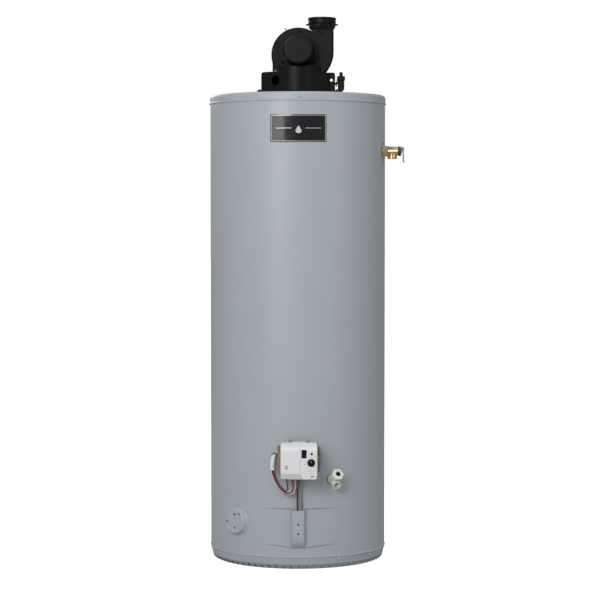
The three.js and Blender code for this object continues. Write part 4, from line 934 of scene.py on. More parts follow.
# ------------------------------------------------------------------ gas control
def control_cover():
    """The moulded hood: crowned outline, sloping brow, raised left half, ledge low on the right."""
    c = COVER
    crown, lowered = 4.0, 2.2

    def outline(inset):
        left, right = c["left"] + inset, c["right"] - inset
        middle, half = (left + right) / 2, (right - left) / 2
        bow = [middle + half * t for t in (0.8, 0.4, 0, -0.4, -0.8)]
        top, bottom = c["top"] - lowered - inset, c["bottom"] + inset
        upper = [(x, top - crown * ((x - middle) / half) ** 2) for x in bow]
        lower = [(x, bottom + crown * 0.6 * ((x - middle) / half) ** 2) for x in reversed(bow)]
        return filleted([(right, top - crown, 6.5), *upper, (left, top - crown, 6.5), (left, bottom + 1, 7.5),
                         *lower, (right, bottom + 1, 7.5)])

    def block(left, right, profile):
        """A profile of (height, distance forward) given width."""
        return prism("block", filleted(profile), left, right, SIDEWAYS)

    def hood(inset, back, front):
        shape = prism("hood", outline(inset), back, front + 5, FRONT)
        brow = [(c["bottom"] - 5, back - 1), (c["top"] + 5, back - 1), (c["top"] + 5, front - 34),
                (c["top"] - 3, front - 28, 14), (390, front, 16), (309, front, 10), (296, front - 9, 12),
                (c["bottom"] - 5, front - 16)]
        return combined(shape, [block(c["left"] - 5, c["right"] + 5, brow)], "INTERSECT")

    outside = union(
        hood(0, c["back"], PANEL),
        combined(hood(0, c["back"] + 20, c["front"]), [
            prism("half", rectangle(c["left"] - 5, 6.7, 311, c["top"] + 5), 320, 400, FRONT)], "INTERSECT"),
        prism("ledge", rectangle(13, c["right"] - 2.5, c["bottom"] + 1.5, 309, 5), 330, c["front"] - 2.6,
              FRONT))
    inside = hood(4.4, c["back"] - 8, PANEL - 4.4)
    body = cut(
        outside, inside,
        prism("notch", rectangle(-42, 2, c["bottom"] - 8, 306, 3), c["back"] - 5, 356, FRONT),
        prism("tube_notch", rectangle(-1, 17, c["bottom"] - 8, c["bottom"] + 6), c["back"] - 5,
              c["back"] + 10, FRONT),
        prism("groove", rectangle(9, c["right"] + 5, 307.4, 311.2, 0.9), PANEL - 3.0, 390, FRONT),
        prism("rocker_hole", rectangle(19.1 - 6.9, 19.1 + 6.9, 371.5 - 11.9, 371.5 + 11.9, 1.5), 360, 390,
              FRONT),
        rod("knob_hole", 3.8, 360, 390, FRONT @ shift(40.8, 345, 0)),
        rod("light_hole", 4.0, 360, 390, FRONT @ shift(42.3, 372.2, 0)))
    add(moulded(body, 0.8, 7, 0.6), "cover_white", replaces=["control_cover"])

    # printed marks with no lettering: a dial scale, a data block and two small fields
    film = (PANEL + 0.02, PANEL + 0.14)
    marks = []
    for k in range(7):
        a = math.radians(-30 + 40 * k)
        at = shift(40.8 + 14.6 * math.cos(a), 345 + 14.6 * math.sin(a), 0) @ turn(math.degrees(a), "Z")
        marks.append(prism("tick", rectangle(-1.1, 1.1, -0.3, 0.3), *film, FRONT @ at))
    marks.append(prism("field", rectangle(31, 42, 319.4, 321.4, 0.4), *film, FRONT))
    marks.append(prism("field", rectangle(47, 52, 318.2, 322.6, 1.8), *film, FRONT))
    add(gathered("cover_print", marks), "cover_white", finish_name="label_pale")
    lower = prism("field", rectangle(39, 49, 300, 305, 0.6), c["front"] - 2.62, c["front"] - 2.5, FRONT)
    add(gathered("cover_lower_mark", [lower]), "cover_white", finish_name="label_grey")
    block_left, block_low = -39.6, 325
    cells = [prism("cell", rectangle(block_left + 3.3 * i, block_left + 3.3 * i + 2.7, block_low + 3.3 * j,
                                     block_low + 3.3 * j + 2.7), c["front"], c["front"] + 0.12, FRONT)
             for i in range(3) for j in range(4)]
    add(gathered("cover_data_block", cells), "cover_white", finish_name="label_grey")


def control_controls():
    """The knob, the rocker with its bezel and the status light."""
    place = FRONT @ shift(40.8, 345, PANEL + 0.5)
    dial = lathe("dial", filleted([
        (0, -8.5), (2.9, -8.5), (2.9, 0), (10.6, 0), (11.5, 0.6, 0.4), (11.5, 3.6, 0.8), (9.4, 4.2, 0.5),
        (8.6, 3.7, 0.4), (7.6, 4.2, 0.4), (6.8, 11.2, 1.2), (0, 11.8)], closed=False), 60, place)
    grips = [rod("grip", 1.0, 4.6, 16, place @ shift(7.9 * math.cos(a), 7.9 * math.sin(a), 0), 12)
             for a in (2 * math.pi * k / 10 for k in range(10))]
    add(cut(dial, *grips), "knob_black", "temperature_knob", replaces=["temperature_knob"])
    add(prism("dial_pointer", rectangle(-0.5, 0.5, 1.5, 6.2, 0.4), 11.5, 12.0, place), "cover_white",
        "temperature_knob", finish_name="label_pale")
    ring = filleted([(9.6, 3.9), (10.4, 3.9), (10.4, 4.25), (9.6, 4.25)])
    add(lathe("dial_ring", ring, 60, place), "knob_black", "temperature_knob", finish_name="motor_black")

    rocker = FRONT @ shift(19.1, 371.5, 0)
    side = Matrix(((0, 0, 1, 0), (0, 1, 0, 0), (1, 0, 0, 0), (0, 0, 0, 1)))
    reach = 10.8
    profile = filleted([(PANEL - 4, -reach + 1.4), (PANEL + 2.4, -reach + 0.8, 0.6), (PANEL + 1.0, 0, 14),
                        (PANEL + 2.4, reach - 0.8, 0.6), (PANEL - 4, reach - 1.4)], steps=8)
    paddle = softened(prism("paddle", profile, -5.9, 5.9, rocker @ side), 0.4, 2)
    add(paddle, "knob_black", "rocker_switch", replaces=["rocker_switch"])
    bezel = skinned("bezel", [
        [(x, y, z) for x, y in rectangle(-w, w, -h, h, 1.4)] for w, h, z in (
            (6.3, 11.3, PANEL - 3), (7.6, 12.6, PANEL + 0.05), (7.6, 12.6, PANEL + 0.6),
            (7.2, 12.2, PANEL + 0.95), (6.5, 11.5, PANEL + 0.95), (6.2, 11.2, PANEL + 0.5),
            (6.1, 11.1, PANEL - 3))], rocker, loop=True)
    add(bezel, "knob_black")
    lens = filleted([(0, -5.5), (3.4, -5.5), (3.5, 0.9, 0.7), (1.8, 2.0, 1.5), (0, 2.2)], closed=False)
    place = FRONT @ shift(42.3, 372.2, PANEL)
    add(lathe("status_lens", lens, 40, place), "lens_dark", replaces=["status_light"])
    add(lathe("status_bezel", filleted([(3.7, 0.05), (4.9, 0.05), (4.9, 0.5, 0.3), (3.7, 0.8, 0.2)]), 40,
              place),
        "cover_white")


def control_body():
    low, high = corners("control_body")
    back, front = -high.y, -low.y
    casting = union(
        prism("casting", rectangle(low.x, high.x - 8, low.z, high.z, 6), back, front, FRONT),
        prism("rib", rectangle(low.x, low.x + 8, low.z + 14, high.z - 8, 2), back + 6, front - 12, FRONT),
        prism("rib", rectangle(high.x - 12, high.x - 2.6, low.z + 6, high.z - 3, 3), back + 4, front - 8,
              FRONT))
    inlet = Matrix.Translation((0, -300, 345)) @ turn(90, "Y")
    boss = lathe("boss", filleted([(10.4, 40), (15.4, 40), (15.4, high.x - 1.4), (14.4, high.x, 0.4),
                                   (11.6, high.x), (10.5, high.x - 1.2), *[
        point for k in range(6) for point in ((10.5, high.x - 3 - 2.4 * k), (11.1, high.x - 4.2 - 2.4 * k))],
        (10.4, 50)]), 60, inlet)
    casting = cut(casting, rod("bore", 11.4, high.x - 24, high.x + 5, inlet),
                  rod("tube_hole", 5.1, low.z - 5, low.z + 10, shift(7.8, -291, 0)))
    body = gathered("control_casting_shell", [softened(casting, 1.0, 2), boss])
    add(body, "control_casting", replaces=["control_body"])
    side = Matrix.Translation((low.x - 0.05, -300, 343)) @ turn(-90, "Y")
    add(screw("control_side_screw", side, 3.4, 1.9), "zinc", replaces=["cover_screw"])
    plugs = [Matrix.Translation((low.x - 0.05, y, z)) @ turn(-90, "Y") for y, z in ((-305, 372), (-293, 318))]
    repeated("control_side_plugs", "zinc", [screw("plug", at, 2.6, 1.4) for at in plugs])
    # brass nut and sleeve where the gas tube enters the control from below
    nut = shift(7.8, -291, 0)
    ferrule = lathe("ferrule", filleted([(4.95, 283), (6.6, 283, 0.6), (7.2, 287.5), (4.95, 288)]), 40, nut)
    flats = cut(prism("flats", hexagon(15.5), 287.5, 300.9, nut), rod("bore", 4.95, 280, 310, nut, 40))
    add(gathered("gas_tube_nut", [ferrule, softened(flats, 0.5, 2)]), "brass")


def cover_clips():
    """Spring clips that hold the cover's top edge to the casting."""
    for name, x in (("cover_clip_left", -23), ("cover_clip_right", 31)):
        top, back = COVER["top"] + 0.3, COVER["back"]
        profile = filleted([(top - 8, back - 8.6), (top - 8, back - 7.4), (top, back - 7.4, 1.0), (top, 350),
                            (top + 1.4, 352, 0.5), (top + 1.5, 330), (top + 1.5, back - 8.8, 2)])
        add(softened(prism(f"{name}_spring", profile, x - 4.5, x + 4.5, SIDEWAYS), 0.3, 2), "bare_steel",
            replaces=[name])


def tubes():
    gas = [(7.8, -291, 310.5), (7.8, -291, 280), (7.8, -291, 220), (7.8, -291, 160), (7.8, -287, 128),
           (7.8, -268, 109), (7.8, -246, 105), (7.8, -232.6, 105)]
    add(tube("gas_line", smooth_route(gas, 10), 4.75, 10), "aluminium", replaces=["gas_tube"])
    lead = [(-1.6, -296, 301.2), (-1.6, -295.5, 280), (-1.6, -292.5, 240), (-1.6, -291.5, 170),
            (-1.6, -286, 148), (-4, -262, 124), (-6, -240, 116), (-6, -232.6, 116)]
    add(tube("igniter_cable", smooth_route(lead, 10), 2.0), "wire_black", replaces=["igniter_lead"])


# ------------------------------------------------------------------ relief valve
RELIEF_PLACE = facing(RELIEF["azimuth"], RADIUS, RELIEF["z"])


def threads(outer, root, start, end, pitch):
    """Radius and height points of a threaded stretch, drawn as rings."""
    count = int((end - start) / pitch)
    line = []
    for k in range(count):
        z = start + k * pitch
        line += [(root, z), (root, z + 0.12 * pitch), (outer, z + 0.5 * pitch), (outer, z + 0.62 * pitch)]
    return [*line, (root, start + count * pitch), (outer - 0.3, end)]


def chamfered_hex(name, across, low, high, place, bore=0.0):
    """A hexagon whose corners are turned off at 30 degrees, as on a machined nut."""
    corner = across / math.sqrt(3)
    cap = (corner - across / 2) * 0.62
    crown = lathe("crown", [(0, low), (across / 2 - 0.2, low), (corner + 0.1, low + cap),
                            (corner + 0.1, high - cap), (across / 2 - 0.2, high), (0, high)], 72, place)
    nut = combined(prism(name, hexagon(across), low - 1, high + 1, place), [crown], "INTERSECT", 25)
    return cut(nut, rod("bore", bore, low - 3, high + 3, place, 40)) if bore else nut


def relief_valve():
    place = RELIEF_PLACE
    down = place @ shift(0, 0, 31.6) @ turn(90, "X")
    barrel = lathe("barrel", filleted([
        (0, -52), *threads(13, 12.1, -50, 7, 1.8), (12.4, 8.2), (12.2, 18), (13.4, 19.2, 1), (14.6, 21, 1.2),
        (14.6, 30), (14.6, 52.4, 0.8), (13.4, 53.4), (0, 53.4)], closed=False, steps=4), 96, place)
    outlet = lathe("outlet", filleted([
        (0, 0), (14.0, 0), (14.0, 17.4, 0.6), (15.0, 18.4, 0.6), (15.0, 24.2, 0.8), (0, 25)], closed=False),
                   80, down)
    body = union(barrel, chamfered_hex("hex", 33.4, 4.2, 19, place), outlet)
    body = cut(body, lathe("port", [(0, 4), *threads(10.6, 9.9, 8, 24, 1.8), (10.8, 25.2), (10.8, 29),
                                    (0, 29)], 64, down),
               rod("bore", 9, -60, 36, place), rod("spring_room", 7, 35, 52.4, place),
               rod("stem_way", 3.2, 45, 70, place))
    add(softened(body, 0.35, 2, 40), "brass", replaces=["relief_valve"])

    # the crimped steel end cap with the two ears that carry the lever's pin
    cap = lathe("cap", filleted([(3.4, 53.6), (15.2, 53.6, 0.4), (15.6, 55, 0.6), (15.2, 58.6, 1.2),
                                 (12, 59.2), (3.4, 59.2)]), 72, place)
    side = Matrix(((0, 0, 1, 0), (1, 0, 0, 0), (0, 1, 0, 0), (0, 0, 0, 1)))
    ear_shape = filleted([(4.4, 57), (12.6, 57), (12.2, 64.4, 3.0), (8.6, 66.8, 2.6), (5.0, 63.4, 2.6)])
    ears = [softened(prism("ear", ear_shape, x - 0.9, x + 0.9, place @ side), 0.25, 2) for x in (-8.4, 8.4)]
    pin_place = place @ shift(0, 8.6, 64.2) @ turn(90, "Y")
    pin = rod("pin", 1.5, -10.6, 10.6, pin_place, 24, 0.4)
    add(gathered("relief_bonnet", [cap, *ears, pin]), "bare_steel", finish_name="bonnet_bronze")

    stem = filleted([(0, 42), (6, 42, 0.5), (6, 46, 0.8), (2.6, 48, 0.8), (2.6, 61.6, 0.5), (4.2, 62, 0.4),
                     (4.2, 65.0, 0.5), (0, 65.4)], closed=False)
    add(lathe("relief_stem_pin", stem, 48, place), "bare_steel", "relief_stem", replaces=["relief_stem"])

    # the lever: a curl round the pin, then a strap that hangs down clear of the stem, with a turned foot
    strap = [(61.4, 6.6), (60.4, 8.8), (61.6, 11.4), (64.2, 12.4), (66.8, 11.2), (67.8, 8.6), (67.0, 4.0),
             (66.6, -2), (67.2, -10), (67.4, -20), (67.2, -29), (68.4, -34), (70.6, -36.2)]
    line = smooth_route([(y, out, 0) for out, y in strap], 5)
    half = 0.65
    left_side, right_side = [], []
    for k, point in enumerate(line):
        ahead = line[min(k + 1, len(line) - 1)] - line[max(k - 1, 0)]
        normal = Vector((-ahead.y, ahead.x, 0)).normalized() * half
        left_side.append((point + normal)[:2])
        right_side.append((point - normal)[:2])
    outline = [*left_side, *reversed(right_side)]
    lever = prism("lever", outline, -7.3, 7.3, place @ side, sharp=40)
    hole = rod("hole", 1.7, 55, 80, place @ shift(0, -30.5, 0), 24)
    add(cut(lever, hole), "zinc", "relief_lever", replaces=["relief_lever"], finish_name="dull_zinc")


# ------------------------------------------------------------------ drain valve
DRAIN_PLACE = facing(DRAIN["azimuth"], RADIUS, DRAIN["z"])
DRAIN_BORE = 7


def drain_tilted(degrees):
    return DRAIN_PLACE @ shift(0, 0, DRAIN["joint"]) @ turn(-degrees, "X")


def drain_valve():
    up, down = drain_tilted(DRAIN["tilt"]), drain_tilted(-DRAIN["tilt"])
    root = lathe("root", filleted([(0, -60), (10, -60), (10, -3), (12, -3), (12, 1.2), (15.5, 1.2, 0.5),
                                   (15.5, 4, 0.7), (12.6, 4.4, 1), (12, 8), (12, 20, 4),
                                   (0, 22)], closed=False), 64,
                 DRAIN_PLACE)
    neck = lathe("neck", filleted([(0, -2), (11.6, -2), (12.2, 12, 2), (12.5, 25.2, 0.8), (0, 25.6)],
                                  closed=False), 64, up)
    spout = lathe("spout", filleted([(0, -4), (11.4, -4), (11.6, 11, 1), *threads(12.9, 11.9, 13, 26, 2.2),
                                     (13.8, 27), (13.8, 29.6, 0.6), (13.0, 30.2), (0, 30.2)], closed=False,
                                    steps=3), 72, down)
    body = union(root, neck, spout)
    body = cut(body, rod("mouth", 11, 20, 40, down), rod("bore", DRAIN_BORE, 4, 40, down),
               rod("back_bore", 6.5, -70, 10, DRAIN_PLACE))
    add(softened(body, 0.6, 2, 40), "drain_cream", replaces=["drain_valve"])

    wheel = skinned("wheel", [[(x * s, y * s, z)
                               for x, y in filleted([(*p, 4.5) for p in hexagon(35)], steps=6)]
                              for s, z in ((0.86, 26), (0.965, 27.2), (1.0, 29.6), (1.0, 36.8), (0.985, 38.8),
                                           (0.94, 40.3), (0.86, 41))], up, sharp=50)
    wheel = cut(wheel, rod("well", 8.0, 32, 45, up, edge=0.0))
    rim = lathe("well_rim", filleted([(7.8, 39.5), (9.2, 40.6), (9.0, 41.7, 0.4), (8.0, 41.7, 0.3),
                                      (7.6, 41, 0.4)]), 48, up)
    add(gathered("drain_wheel", [wheel, rim]), "drain_cream", "drain_knob", replaces=["drain_knob"])
    slotted = cut(rod("plug", 7.9, 31.9, 38.6, up, edge=0.5),
                  prism("slot", rectangle(-5.4, 5.4, -1.1, 1.1), 35, 40, up))
    add(slotted, "knob_black", "drain_knob")

# ------------------------------------------------------------------ blower
def volute(inset, top, steps=56):
    """The scroll's outline: the neck's right side, a spiral round to a circle, the neck's left side."""
    s = SCROLL
    line = [(NECK["right"] - inset, top)]
    for i in range(steps + 1):
        left = 1 - i / steps
        r = s["radius"] + s["growth"] * left**1.5 - inset
        line.append((s["x"] + r * math.cos(-math.pi * (1 - left)),
                     s["z"] + r * math.sin(-math.pi * (1 - left))))
    r = s["radius"] - inset
    end = math.acos((NECK["left"] + inset - s["x"]) / r)
    for i in range(1, steps + 1):
        a = math.pi - (math.pi - end) * i / steps
        line.append((s["x"] + r * math.cos(a), s["z"] + r * math.sin(a)))
    line.append((NECK["left"] + inset, top))
    return line


def rounded_volute(name, levels):
    """The scroll's outline skinned through levels of (inset, distance forward)."""
    top = NECK["top"]
    return skinned(name, [[(x, y, z) for x, y in volute(inset, top)] for inset, z in levels], FRONT)


def edge_levels(radius, z, towards, steps=6, start=0.0):
    """Levels that round an outline's edge as it meets the face at z. towards is 1 for a front face."""
    for k in range(steps + 1):
        a = math.pi / 2 * k / steps
        yield start + radius * (1 - math.cos(a)), z - towards * radius * (1 - math.sin(a))


def scroll():
    s = SCROLL
    seam, front, back = s["seam"], s["front"], s["back"]
    shell = rounded_volute("scroll_shell", [
        *[(i, z) for i, z in reversed(list(edge_levels(7, back, -1)))], (0, seam - 5), (-1.6, seam - 4.4),
        (-1.8, seam - 3.6), (-1.8, seam - 0.3), (-1.5, seam)])
    inner = prism("inner", volute(3, NECK["top"] + 5), back + 3, seam + 1, FRONT)
    inlet = rod("inlet", 32, back - 1, back + 4, MOTOR_AXIS, 64)
    add(cut(shell, inner, inlet), "blower_black", replaces=["scroll_housing"])

    low = seam + 0.3
    plate = rounded_volute("scroll_plate", [(-1.5, low), (-1.8, low + 0.3), (-1.8, low + 0.6),
                                            (-1.4, low + 0.9), (0, low + 1.0), *edge_levels(4.6, front, 1)])
    ring = lathe("ring", filleted([(46.6, front - 1), (57.4, front - 1), (57, front + 2.2, 1),
                                   (54.5, front + 3, 0.6), (49, front + 3, 0.6), (47.4, front + 1.6),
                                   (46.6, front + 0.6)]), 96,
                 MOTOR_AXIS)
    bosses = []
    for a in BOSS_ANGLES:
        spot = MOTOR_AXIS @ shift(60 * math.cos(math.radians(a)), 60 * math.sin(math.radians(a)), 0)
        bosses.append(lathe("boss", filleted([(0, low), (8.6, low), (7.6, front + 1, 2), (6.8, front + 6, 1),
                                              (0, front + 6)],
                                             closed=False), 40, spot))
    fin = prism("fin", rectangle(s["radius"] - 8, s["radius"] + 9.5, -1.5, 1.5, 1.2), low, front - 0.5,
                FRONT @ shift(s["x"], s["z"], 0) @ turn(117, "Z"))
    stud = lathe("stud", filleted([(0, front - 1), (6.4, front - 1), (5.2, front + 0.6, 1),
                                   (4.6, front + 3.4, 1.2), (2.2, front + 3.4), (1.8, front + 2.4),
                                   (0, front + 2.2)], closed=False),
                 36, FRONT @ shift(73, 1672, 0))
    plate = union(plate, ring, *bosses, fin, stud)
    eye = rod("eye", 7, seam - 5, front + 5, MOTOR_AXIS, 48)
    add(softened(cut(plate, eye), 0.5, 2, 38), "blower_black", replaces=["scroll_cover"])
    # screws round the scroll's flange
    spots = []
    for a in (20, 150, 200, 240, 285, 330):
        left = max(a / 180 - 1, 0)
        reach = s["radius"] + s["growth"] * left**1.5 - 7.5
        if a == 20:
            reach = s["radius"] + 17
        spots.append(FRONT @ shift(s["x"] + reach * math.cos(math.radians(a)),
                                   s["z"] + reach * math.sin(math.radians(a)), front - 0.1))
    repeated("scroll_screws", "motor_black", [screw("scroll_screw", at, 3.0, 1.6) for at in spots])


def intake():
    """The drum over the flue with its wings and the duct behind the scroll, as one moulding."""
    w, d = WING, DRUM
    floor = w["floor"]

    def plan(inset, grow=0.0):
        lean = math.radians(w["lean"])
        r = d["radius"] - inset
        left, right = w["left"] + inset - grow, w["right"] - inset + grow

        def touch(side):
            return d["x"] + side * r * math.sin(lean), d["y"] - r * math.cos(lean)

        def reach(side, x):
            tx, ty = touch(side)
            return x, ty + abs(x - tx) * math.tan(lean)

        arc = [(d["x"] + r * math.cos(math.radians(a)), d["y"] + r * math.sin(math.radians(a)))
               for a in range(-90 - w["lean"], -90 + w["lean"] + 1, 4)]
        return [(left, 64 - inset), reach(-1, left), *arc, reach(1, right), (right, 64 - inset)]

    def arch(inset, low):
        r = SCROLL["radius"] - 1 - inset
        curve = [(SCROLL["x"] + r * math.cos(math.pi * k / 40), SCROLL["z"] + r * math.sin(math.pi * k / 40))
                 for k in range(41)]
        return [(SCROLL["x"] - r, low), (SCROLL["x"] + r, low), *curve]

    duct_front = SCROLL["back"] - 0.6
    at = shift(d["x"], d["y"], 0)
    wall = 3
    front_view = prism("front_view", rectangle(w["left"], w["right"], floor - 40, w["top"], 8), -150, 150,
                       FRONT)
    wings = combined(prism("wings", plan(0), floor, w["top"]), [front_view], "INTERSECT")
    outside = union(
        wings,
        lathe("drum", filleted([(0, floor), (d["radius"], floor), (d["radius"], d["top"], 4.5),
                                (0, d["top"])],
                               closed=False), 128, at),
        prism("arch", arch(0, floor), -64, duct_front, FRONT),
        prism("bracket", rectangle(w["right"] - 6, w["bracket"], floor, w["top"], 7), 36, 40, FRONT),
        prism("foot", filleted([(w["right"] - 2, floor), (w["bracket"] + 1, floor),
                                (w["bracket"] - 3, floor + 13, 3),
                                (w["right"] - 2, floor + 26)]), 38, 46, FRONT))
    inside = union(
        prism("wings", plan(wall), floor - 1, w["top"] - wall),
        rod("drum", d["radius"] - wall, floor - 1, d["top"] - wall, at, 96),
        prism("arch", arch(wall, floor - 1), -64 + wall, duct_front - wall, FRONT))
    knockout = shift(-71, -88, 1522) @ turn(-w["lean"], "Z") @ turn(90, "X")
    body = cut(
        outside, inside,
        prism("scroll_room", volute(-2.4, NECK["top"]), SCROLL["back"] - 0.4, SCROLL["front"] + 0.8, FRONT),
        rod("motor_room", 58.6, SCROLL["front"] - 1, MOTOR["back"] + 6, MOTOR_AXIS, 64),
        rod("duct_way", 32, SCROLL["back"] - 12, SCROLL["back"] + 1, MOTOR_AXIS),
        rod("knockout", 15.5, -12, 12, knockout),
        rod("bracket_hole", 4.6, 20, 60, FRONT @ shift(107, 1526, 0)))
    add(moulded(body, 1.3, 4, 0.7), "blower_black", replaces=["intake_housing"])
    # a rolled rim inside the knockout
    rim = lathe("knockout_rim", filleted([(14.4, -2.2), (16.1, -2.2), (17.3, 0.2, 0.8), (16.3, 1.4, 0.6),
                                          (14.7, 1.0, 0.5)]),
                60, knockout)
    add(rim, "blower_black")


def blower_base():
    low, high = corners("blower_base")
    plate = prism("plate", rectangle(low.x, high.x, low.y, high.y, 14), low.z, high.z)
    plate = softened(cut(plate, rod("flue", 60, low.z - 5, high.z + 5)), 1.6, 3)
    add(plate, "blower_black", replaces=["blower_base"])
    spots = [(x, y) for x in (low.x + 9, high.x - 9) for y in (low.y + 10, high.y - 10)]
    repeated("blower_bolts", "motor_black", [hex_screw("bolt", shift(x, y, high.z)) for x, y in spots])
    low, high = corners("blower_gasket")
    pad = prism("pad", rectangle(low.x, high.x, low.y, high.y, 8), low.z, high.z)
    pad = cut(pad, rod("flue", 62, low.z - 5, high.z + 5),
              *(rod("pipe", 17.3, low.z - 5, high.z + 5, shift(s * NIPPLE["x"], NIPPLE["y"], 0))
                for s in (-1, 1)))
    add(softened(pad, 0.8, 2), "gasket", replaces=["blower_gasket"])


def rounded_square(x, y, z, half_x, half_y, power, steps=96):
    ring = []
    for k in range(steps):
        a = 2 * math.pi * k / steps
        c, s = math.cos(a), math.sin(a)
        ring.append((x + half_x * math.copysign(abs(c) ** (2 / power), c),
                     y + half_y * math.copysign(abs(s) ** (2 / power), s), z))
    return ring


def vent_outlet():
    """From the scroll's square neck to the round spigot, with its bead, lip and clamp ears."""
    o = OUTLET
    x, y = o["x"], o["y"]
    mid, half = (NECK["left"] + NECK["right"]) / 2, (NECK["right"] - NECK["left"]) / 2
    deep = (SCROLL["front"] - SCROLL["back"]) / 2
    low, shelf, top, r = NECK["top"] + 0.3, o["shelf"], o["top"], o["radius"]
    steps = [
        (mid, low, half, deep, 7), (mid, low + 2, half, deep, 6.5), (mid, low + 4, half + 0.6, deep, 5),
        ((mid + x) / 2, low + 7, 37.6, 38, 3.6), (x, low + 12.5, 42.0, 41.0, 2.6),
        (x, shelf - 4.5, 42.8, 42.4, 2.1), (x, shelf - 0.6, 42.8, 42.8, 2), (x, shelf + 0.2, 43.6, 43.6, 2),
        (x, shelf + 1.2, r - 0.5, r - 0.5, 2), (x, shelf + 3.4, r - 0.3, r - 0.3, 2),
        (x, shelf + 4.2, r - 0.8, r - 0.8, 2), (x, shelf + 10.6, r - 0.8, r - 0.8, 2),
        (x, top - 7.2, r - 0.8, r - 0.8, 2),
        (x, top - 6.4, r, r, 2), (x, top - 1.6, r, r, 2), (x, top - 0.5, r - 0.5, r - 0.5, 2),
        (x, top, r - 1.5, r - 1.5, 2), (x, top, o["bore"] + 1, o["bore"] + 1, 2),
        (x, top - 1, o["bore"], o["bore"], 2), (x, shelf + 2, o["bore"], o["bore"], 2),
        (x, low + 10, 38, 37.3, 2.4), (mid, low + 2, half - 3, deep - 3, 6),
        (mid, low, half - 3, deep - 3, 7)]
    body = skinned("vent_spigot", [rounded_square(cx, y, z, hx, hy, power) for cx, z, hx, hy, power in steps],
                   loop=True, sharp=30)
    ears = []
    for side in (-1, 1):
        tab = filleted([(side * (r - 6), -11), (side * (r + 2), -8), (side * (r + 6.4), -2.4, 2),
                        (side * (r + 6.4), 2.4, 2), (side * (r + 2), 8), (side * (r - 6), 11)])
        ears.append(softened(prism("ear", tab, shelf - 3.2, shelf + 1.0, shift(x, y, 0)), 1.2, 3))
    body = cut(union(body, *ears), rod("way", o["bore"] - 0.05, shelf - 8, shelf + 6, shift(x, y, 0), 96))
    add(body, "blower_black", replaces=["vent_outlet"])


def motor():
    m = MOTOR
    r = m["radius"]
    case = lathe("motor_shell", filleted([
        (8, m["back"]), (46.6, m["back"], 0.6), (46.6, m["back"] + 2.6, 0.6), (r, m["back"] + 3.4, 0.6),
        (r, m["seam"] - 3), (r + 0.8, m["seam"] - 2.2, 0.3), (r + 0.8, m["seam"], 0.3), (r - 2.5, m["seam"]),
        (r - 2.5, m["back"] + 2.5), (8, m["back"] + 2.5)]), 128, MOTOR_AXIS)
    lugs = [prism("lug", filleted([(38, -8), (58, -6, 5), (66.5, 0, 5), (58, 6, 5), (38, 8)]), m["back"] + 3,
                  m["back"] + 5.2, MOTOR_AXIS @ turn(a, "Z")) for a in BOSS_ANGLES]
    case = cut(union(case, *[softened(lug, 0.5, 2) for lug in lugs]),
               rod("hollow", r - 2.5, m["back"] + 2.5, m["seam"] + 5, MOTOR_AXIS, 96))
    add(case, "motor_black", replaces=["motor_case"])
    cap = lathe("motor_end", filleted([
        (r, m["seam"] + 0.3), (r + 0.8, m["seam"] + 0.5, 0.3), (r + 0.8, m["seam"] + 2.2, 0.4),
        (r, m["seam"] + 3, 0.4), (r, m["front"] - 0.6, 5.5), (39, m["front"], 1),
        (37.6, m["front"] - 0.7, 0.8), (12, m["front"] - 0.5, 1), (10.6, m["front"], 0.8), (0, m["front"]),
        (0, m["front"] - 2.5), (r - 4, m["front"] - 3, 2),
        (r - 2.5, m["seam"] + 0.3)], closed=False, steps=8), 128, MOTOR_AXIS)
    add(cap, "motor_black", replaces=["motor_cap"])
    heads = []
    for a in BOSS_ANGLES:
        spot = shift(60 * math.cos(math.radians(a)), 60 * math.sin(math.radians(a)), m["back"] + 5.2)
        heads.append(screw("motor_screw", MOTOR_AXIS @ spot, 4.0, 2.4))
    repeated("motor_screws", "motor_black", heads)


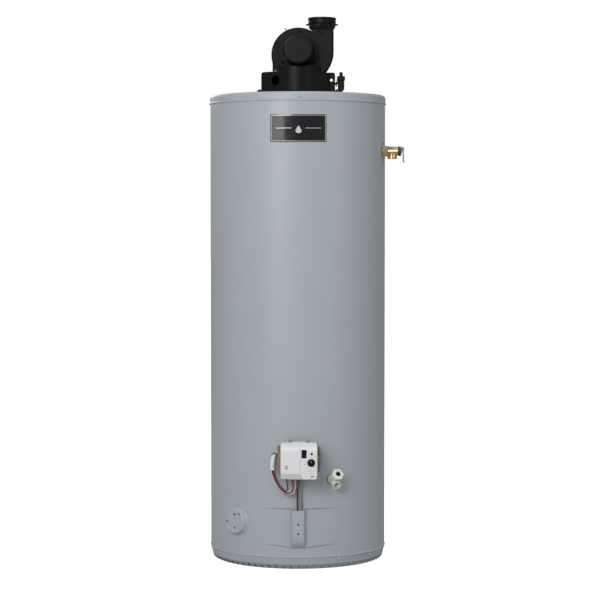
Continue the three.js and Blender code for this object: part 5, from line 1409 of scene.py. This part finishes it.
def harness():
    """The plug in its lid grommet, with a latch, and its short lead back into the housing."""
    p = PLUG
    at, up = FRONT @ shift(p["x"], 0, 0), shift(p["x"], 0, 0)
    body = softened(prism("body", rectangle(-10.2, 10.2, p["bottom"], 1530, 6), -9, 9, at), 1.2, 3)
    ribs = [softened(prism("rib", rectangle(-10.9, 10.9, z, z + 1.6, 0.7), -9.5, 9.5, at), 0.4, 2)
            for z in (1507, 1511.5, 1516, 1520.5)]
    collar = softened(prism("collar", rectangle(-12.8, 12.8, 1526, 1541, 4), -11, 11, at), 1.4, 3)
    boot = lathe("boot", filleted([(0, 1539), (6.6, 1539), (5.8, 1541.5, 1), (5.8, 1550, 0.8),
                                   (4.8, 1551, 0.5), (4.4, p["top"], 0.8),
                                   (0, p["top"])], closed=False), 40, up)
    latch = softened(prism("latch", filleted([(-10.5, 1531), (-13.6, 1531.5, 1.5), (-17, 1508, 1),
                                              (-15.2, 1506, 0.8), (-13.4, 1508.6, 1),
                                              (-11.8, 1526)]), 2.6, 7.4, at), 0.4, 2)
    cuff = lathe("cuff", filleted([(0, 10), (6.4, 10), (6.0, 12, 1), (4.7, 20, 1), (3.7, 21), (0, 21)],
                                  closed=False), 36,
                 Matrix.Translation((p["x"], 0, 1534)) @ turn(-90, "X"))
    add(gathered("harness_connector", [body, *ribs, collar, boot, latch, cuff]), "knob_black",
        replaces=["harness_plug"])
    socket = filleted([(0, 1468), (6.5, 1468), (6.5, LID_HIGH.z + 0.3), (11.5, LID_HIGH.z + 0.3, 0.6),
                       (11.5, LID_HIGH.z + 2.5, 0.9), (7, LID_HIGH.z + 4, 1.5), (5.6, LID_HIGH.z + 8, 1),
                       (5.6, p["bottom"] - 0.3), (0, p["bottom"] - 0.3)], closed=False)
    add(lathe("harness_grommet", socket, 48, up), "knob_black", replaces=["harness_socket"])
    route = [(p["x"], 11.4, 1534), (p["x"], 22, 1534), (p["x"] - 2, 38, 1530), (p["x"] - 12, 48, 1522),
             (p["x"] - 26, 50, 1518), (p["x"] - 43.9, 50, 1518)]
    add(tube("harness_cable", smooth_route(route), 3.6), "wire_black", replaces=["harness_lead"])


def pipe_stubs():
    """The two water nipples and the anode's head, on top at the back."""
    for name, side in (("cold_nipple", 1), ("hot_nipple", -1)):
        low, high = corners(name)
        r, bore = NIPPLE["radius"], NIPPLE["bore"]
        profile = [(bore, low.z), (r, low.z), (r, 1480), *threads(r, 12.3, 1500, high.z - 2, 1.8),
                   (12.6, high.z), (bore, high.z)]
        add(lathe(f"{name}_pipe", filleted(profile), 64, shift(side * NIPPLE["x"], NIPPLE["y"], 0)), "zinc",
            replaces=[name])
    low, high = corners("anode_rod")
    at = shift(0, ANODE_Y, 0)
    rod_body = lathe("rod", filleted([(0, low.z), (10, low.z, 2), (10, 1355), (13, 1356), (13, 1466),
                                      (0, 1466)],
                                     closed=False), 48, at)
    head = chamfered_hex("head", 34, 1466, high.z, at)
    add(gathered("anode", [rod_body, head]), "anode_magnesium", replaces=["anode_rod"])


def inner_finishes():
    """What stays as CAD: the pieces inside, each with its own finish."""
    slots = {entry["node"]: entry["material_slot"] for entry in frame["record"]["subparts"]}
    for name, slot in slots.items():
        piece = frame["nodes"][name]
        if piece.hide_render:
            continue
        piece.data.materials.clear()
        piece.data.materials.append(MATERIALS[slot])
        for face in piece.data.polygons:
            face.use_smooth = True
        piece.data.set_sharp_from_angle(angle=math.radians(30))


camera()
studio()
wires()
sleeve()
jacket()
relief_collar()
lid()
base_pan()
badge()
inspection_cap()
outer_door()
control_cover()
control_controls()
control_body()
cover_clips()
tubes()
relief_valve()
drain_valve()
scroll()
intake()
blower_base()
vent_outlet()
motor()
harness()
pipe_stubs()
inner_finishes()
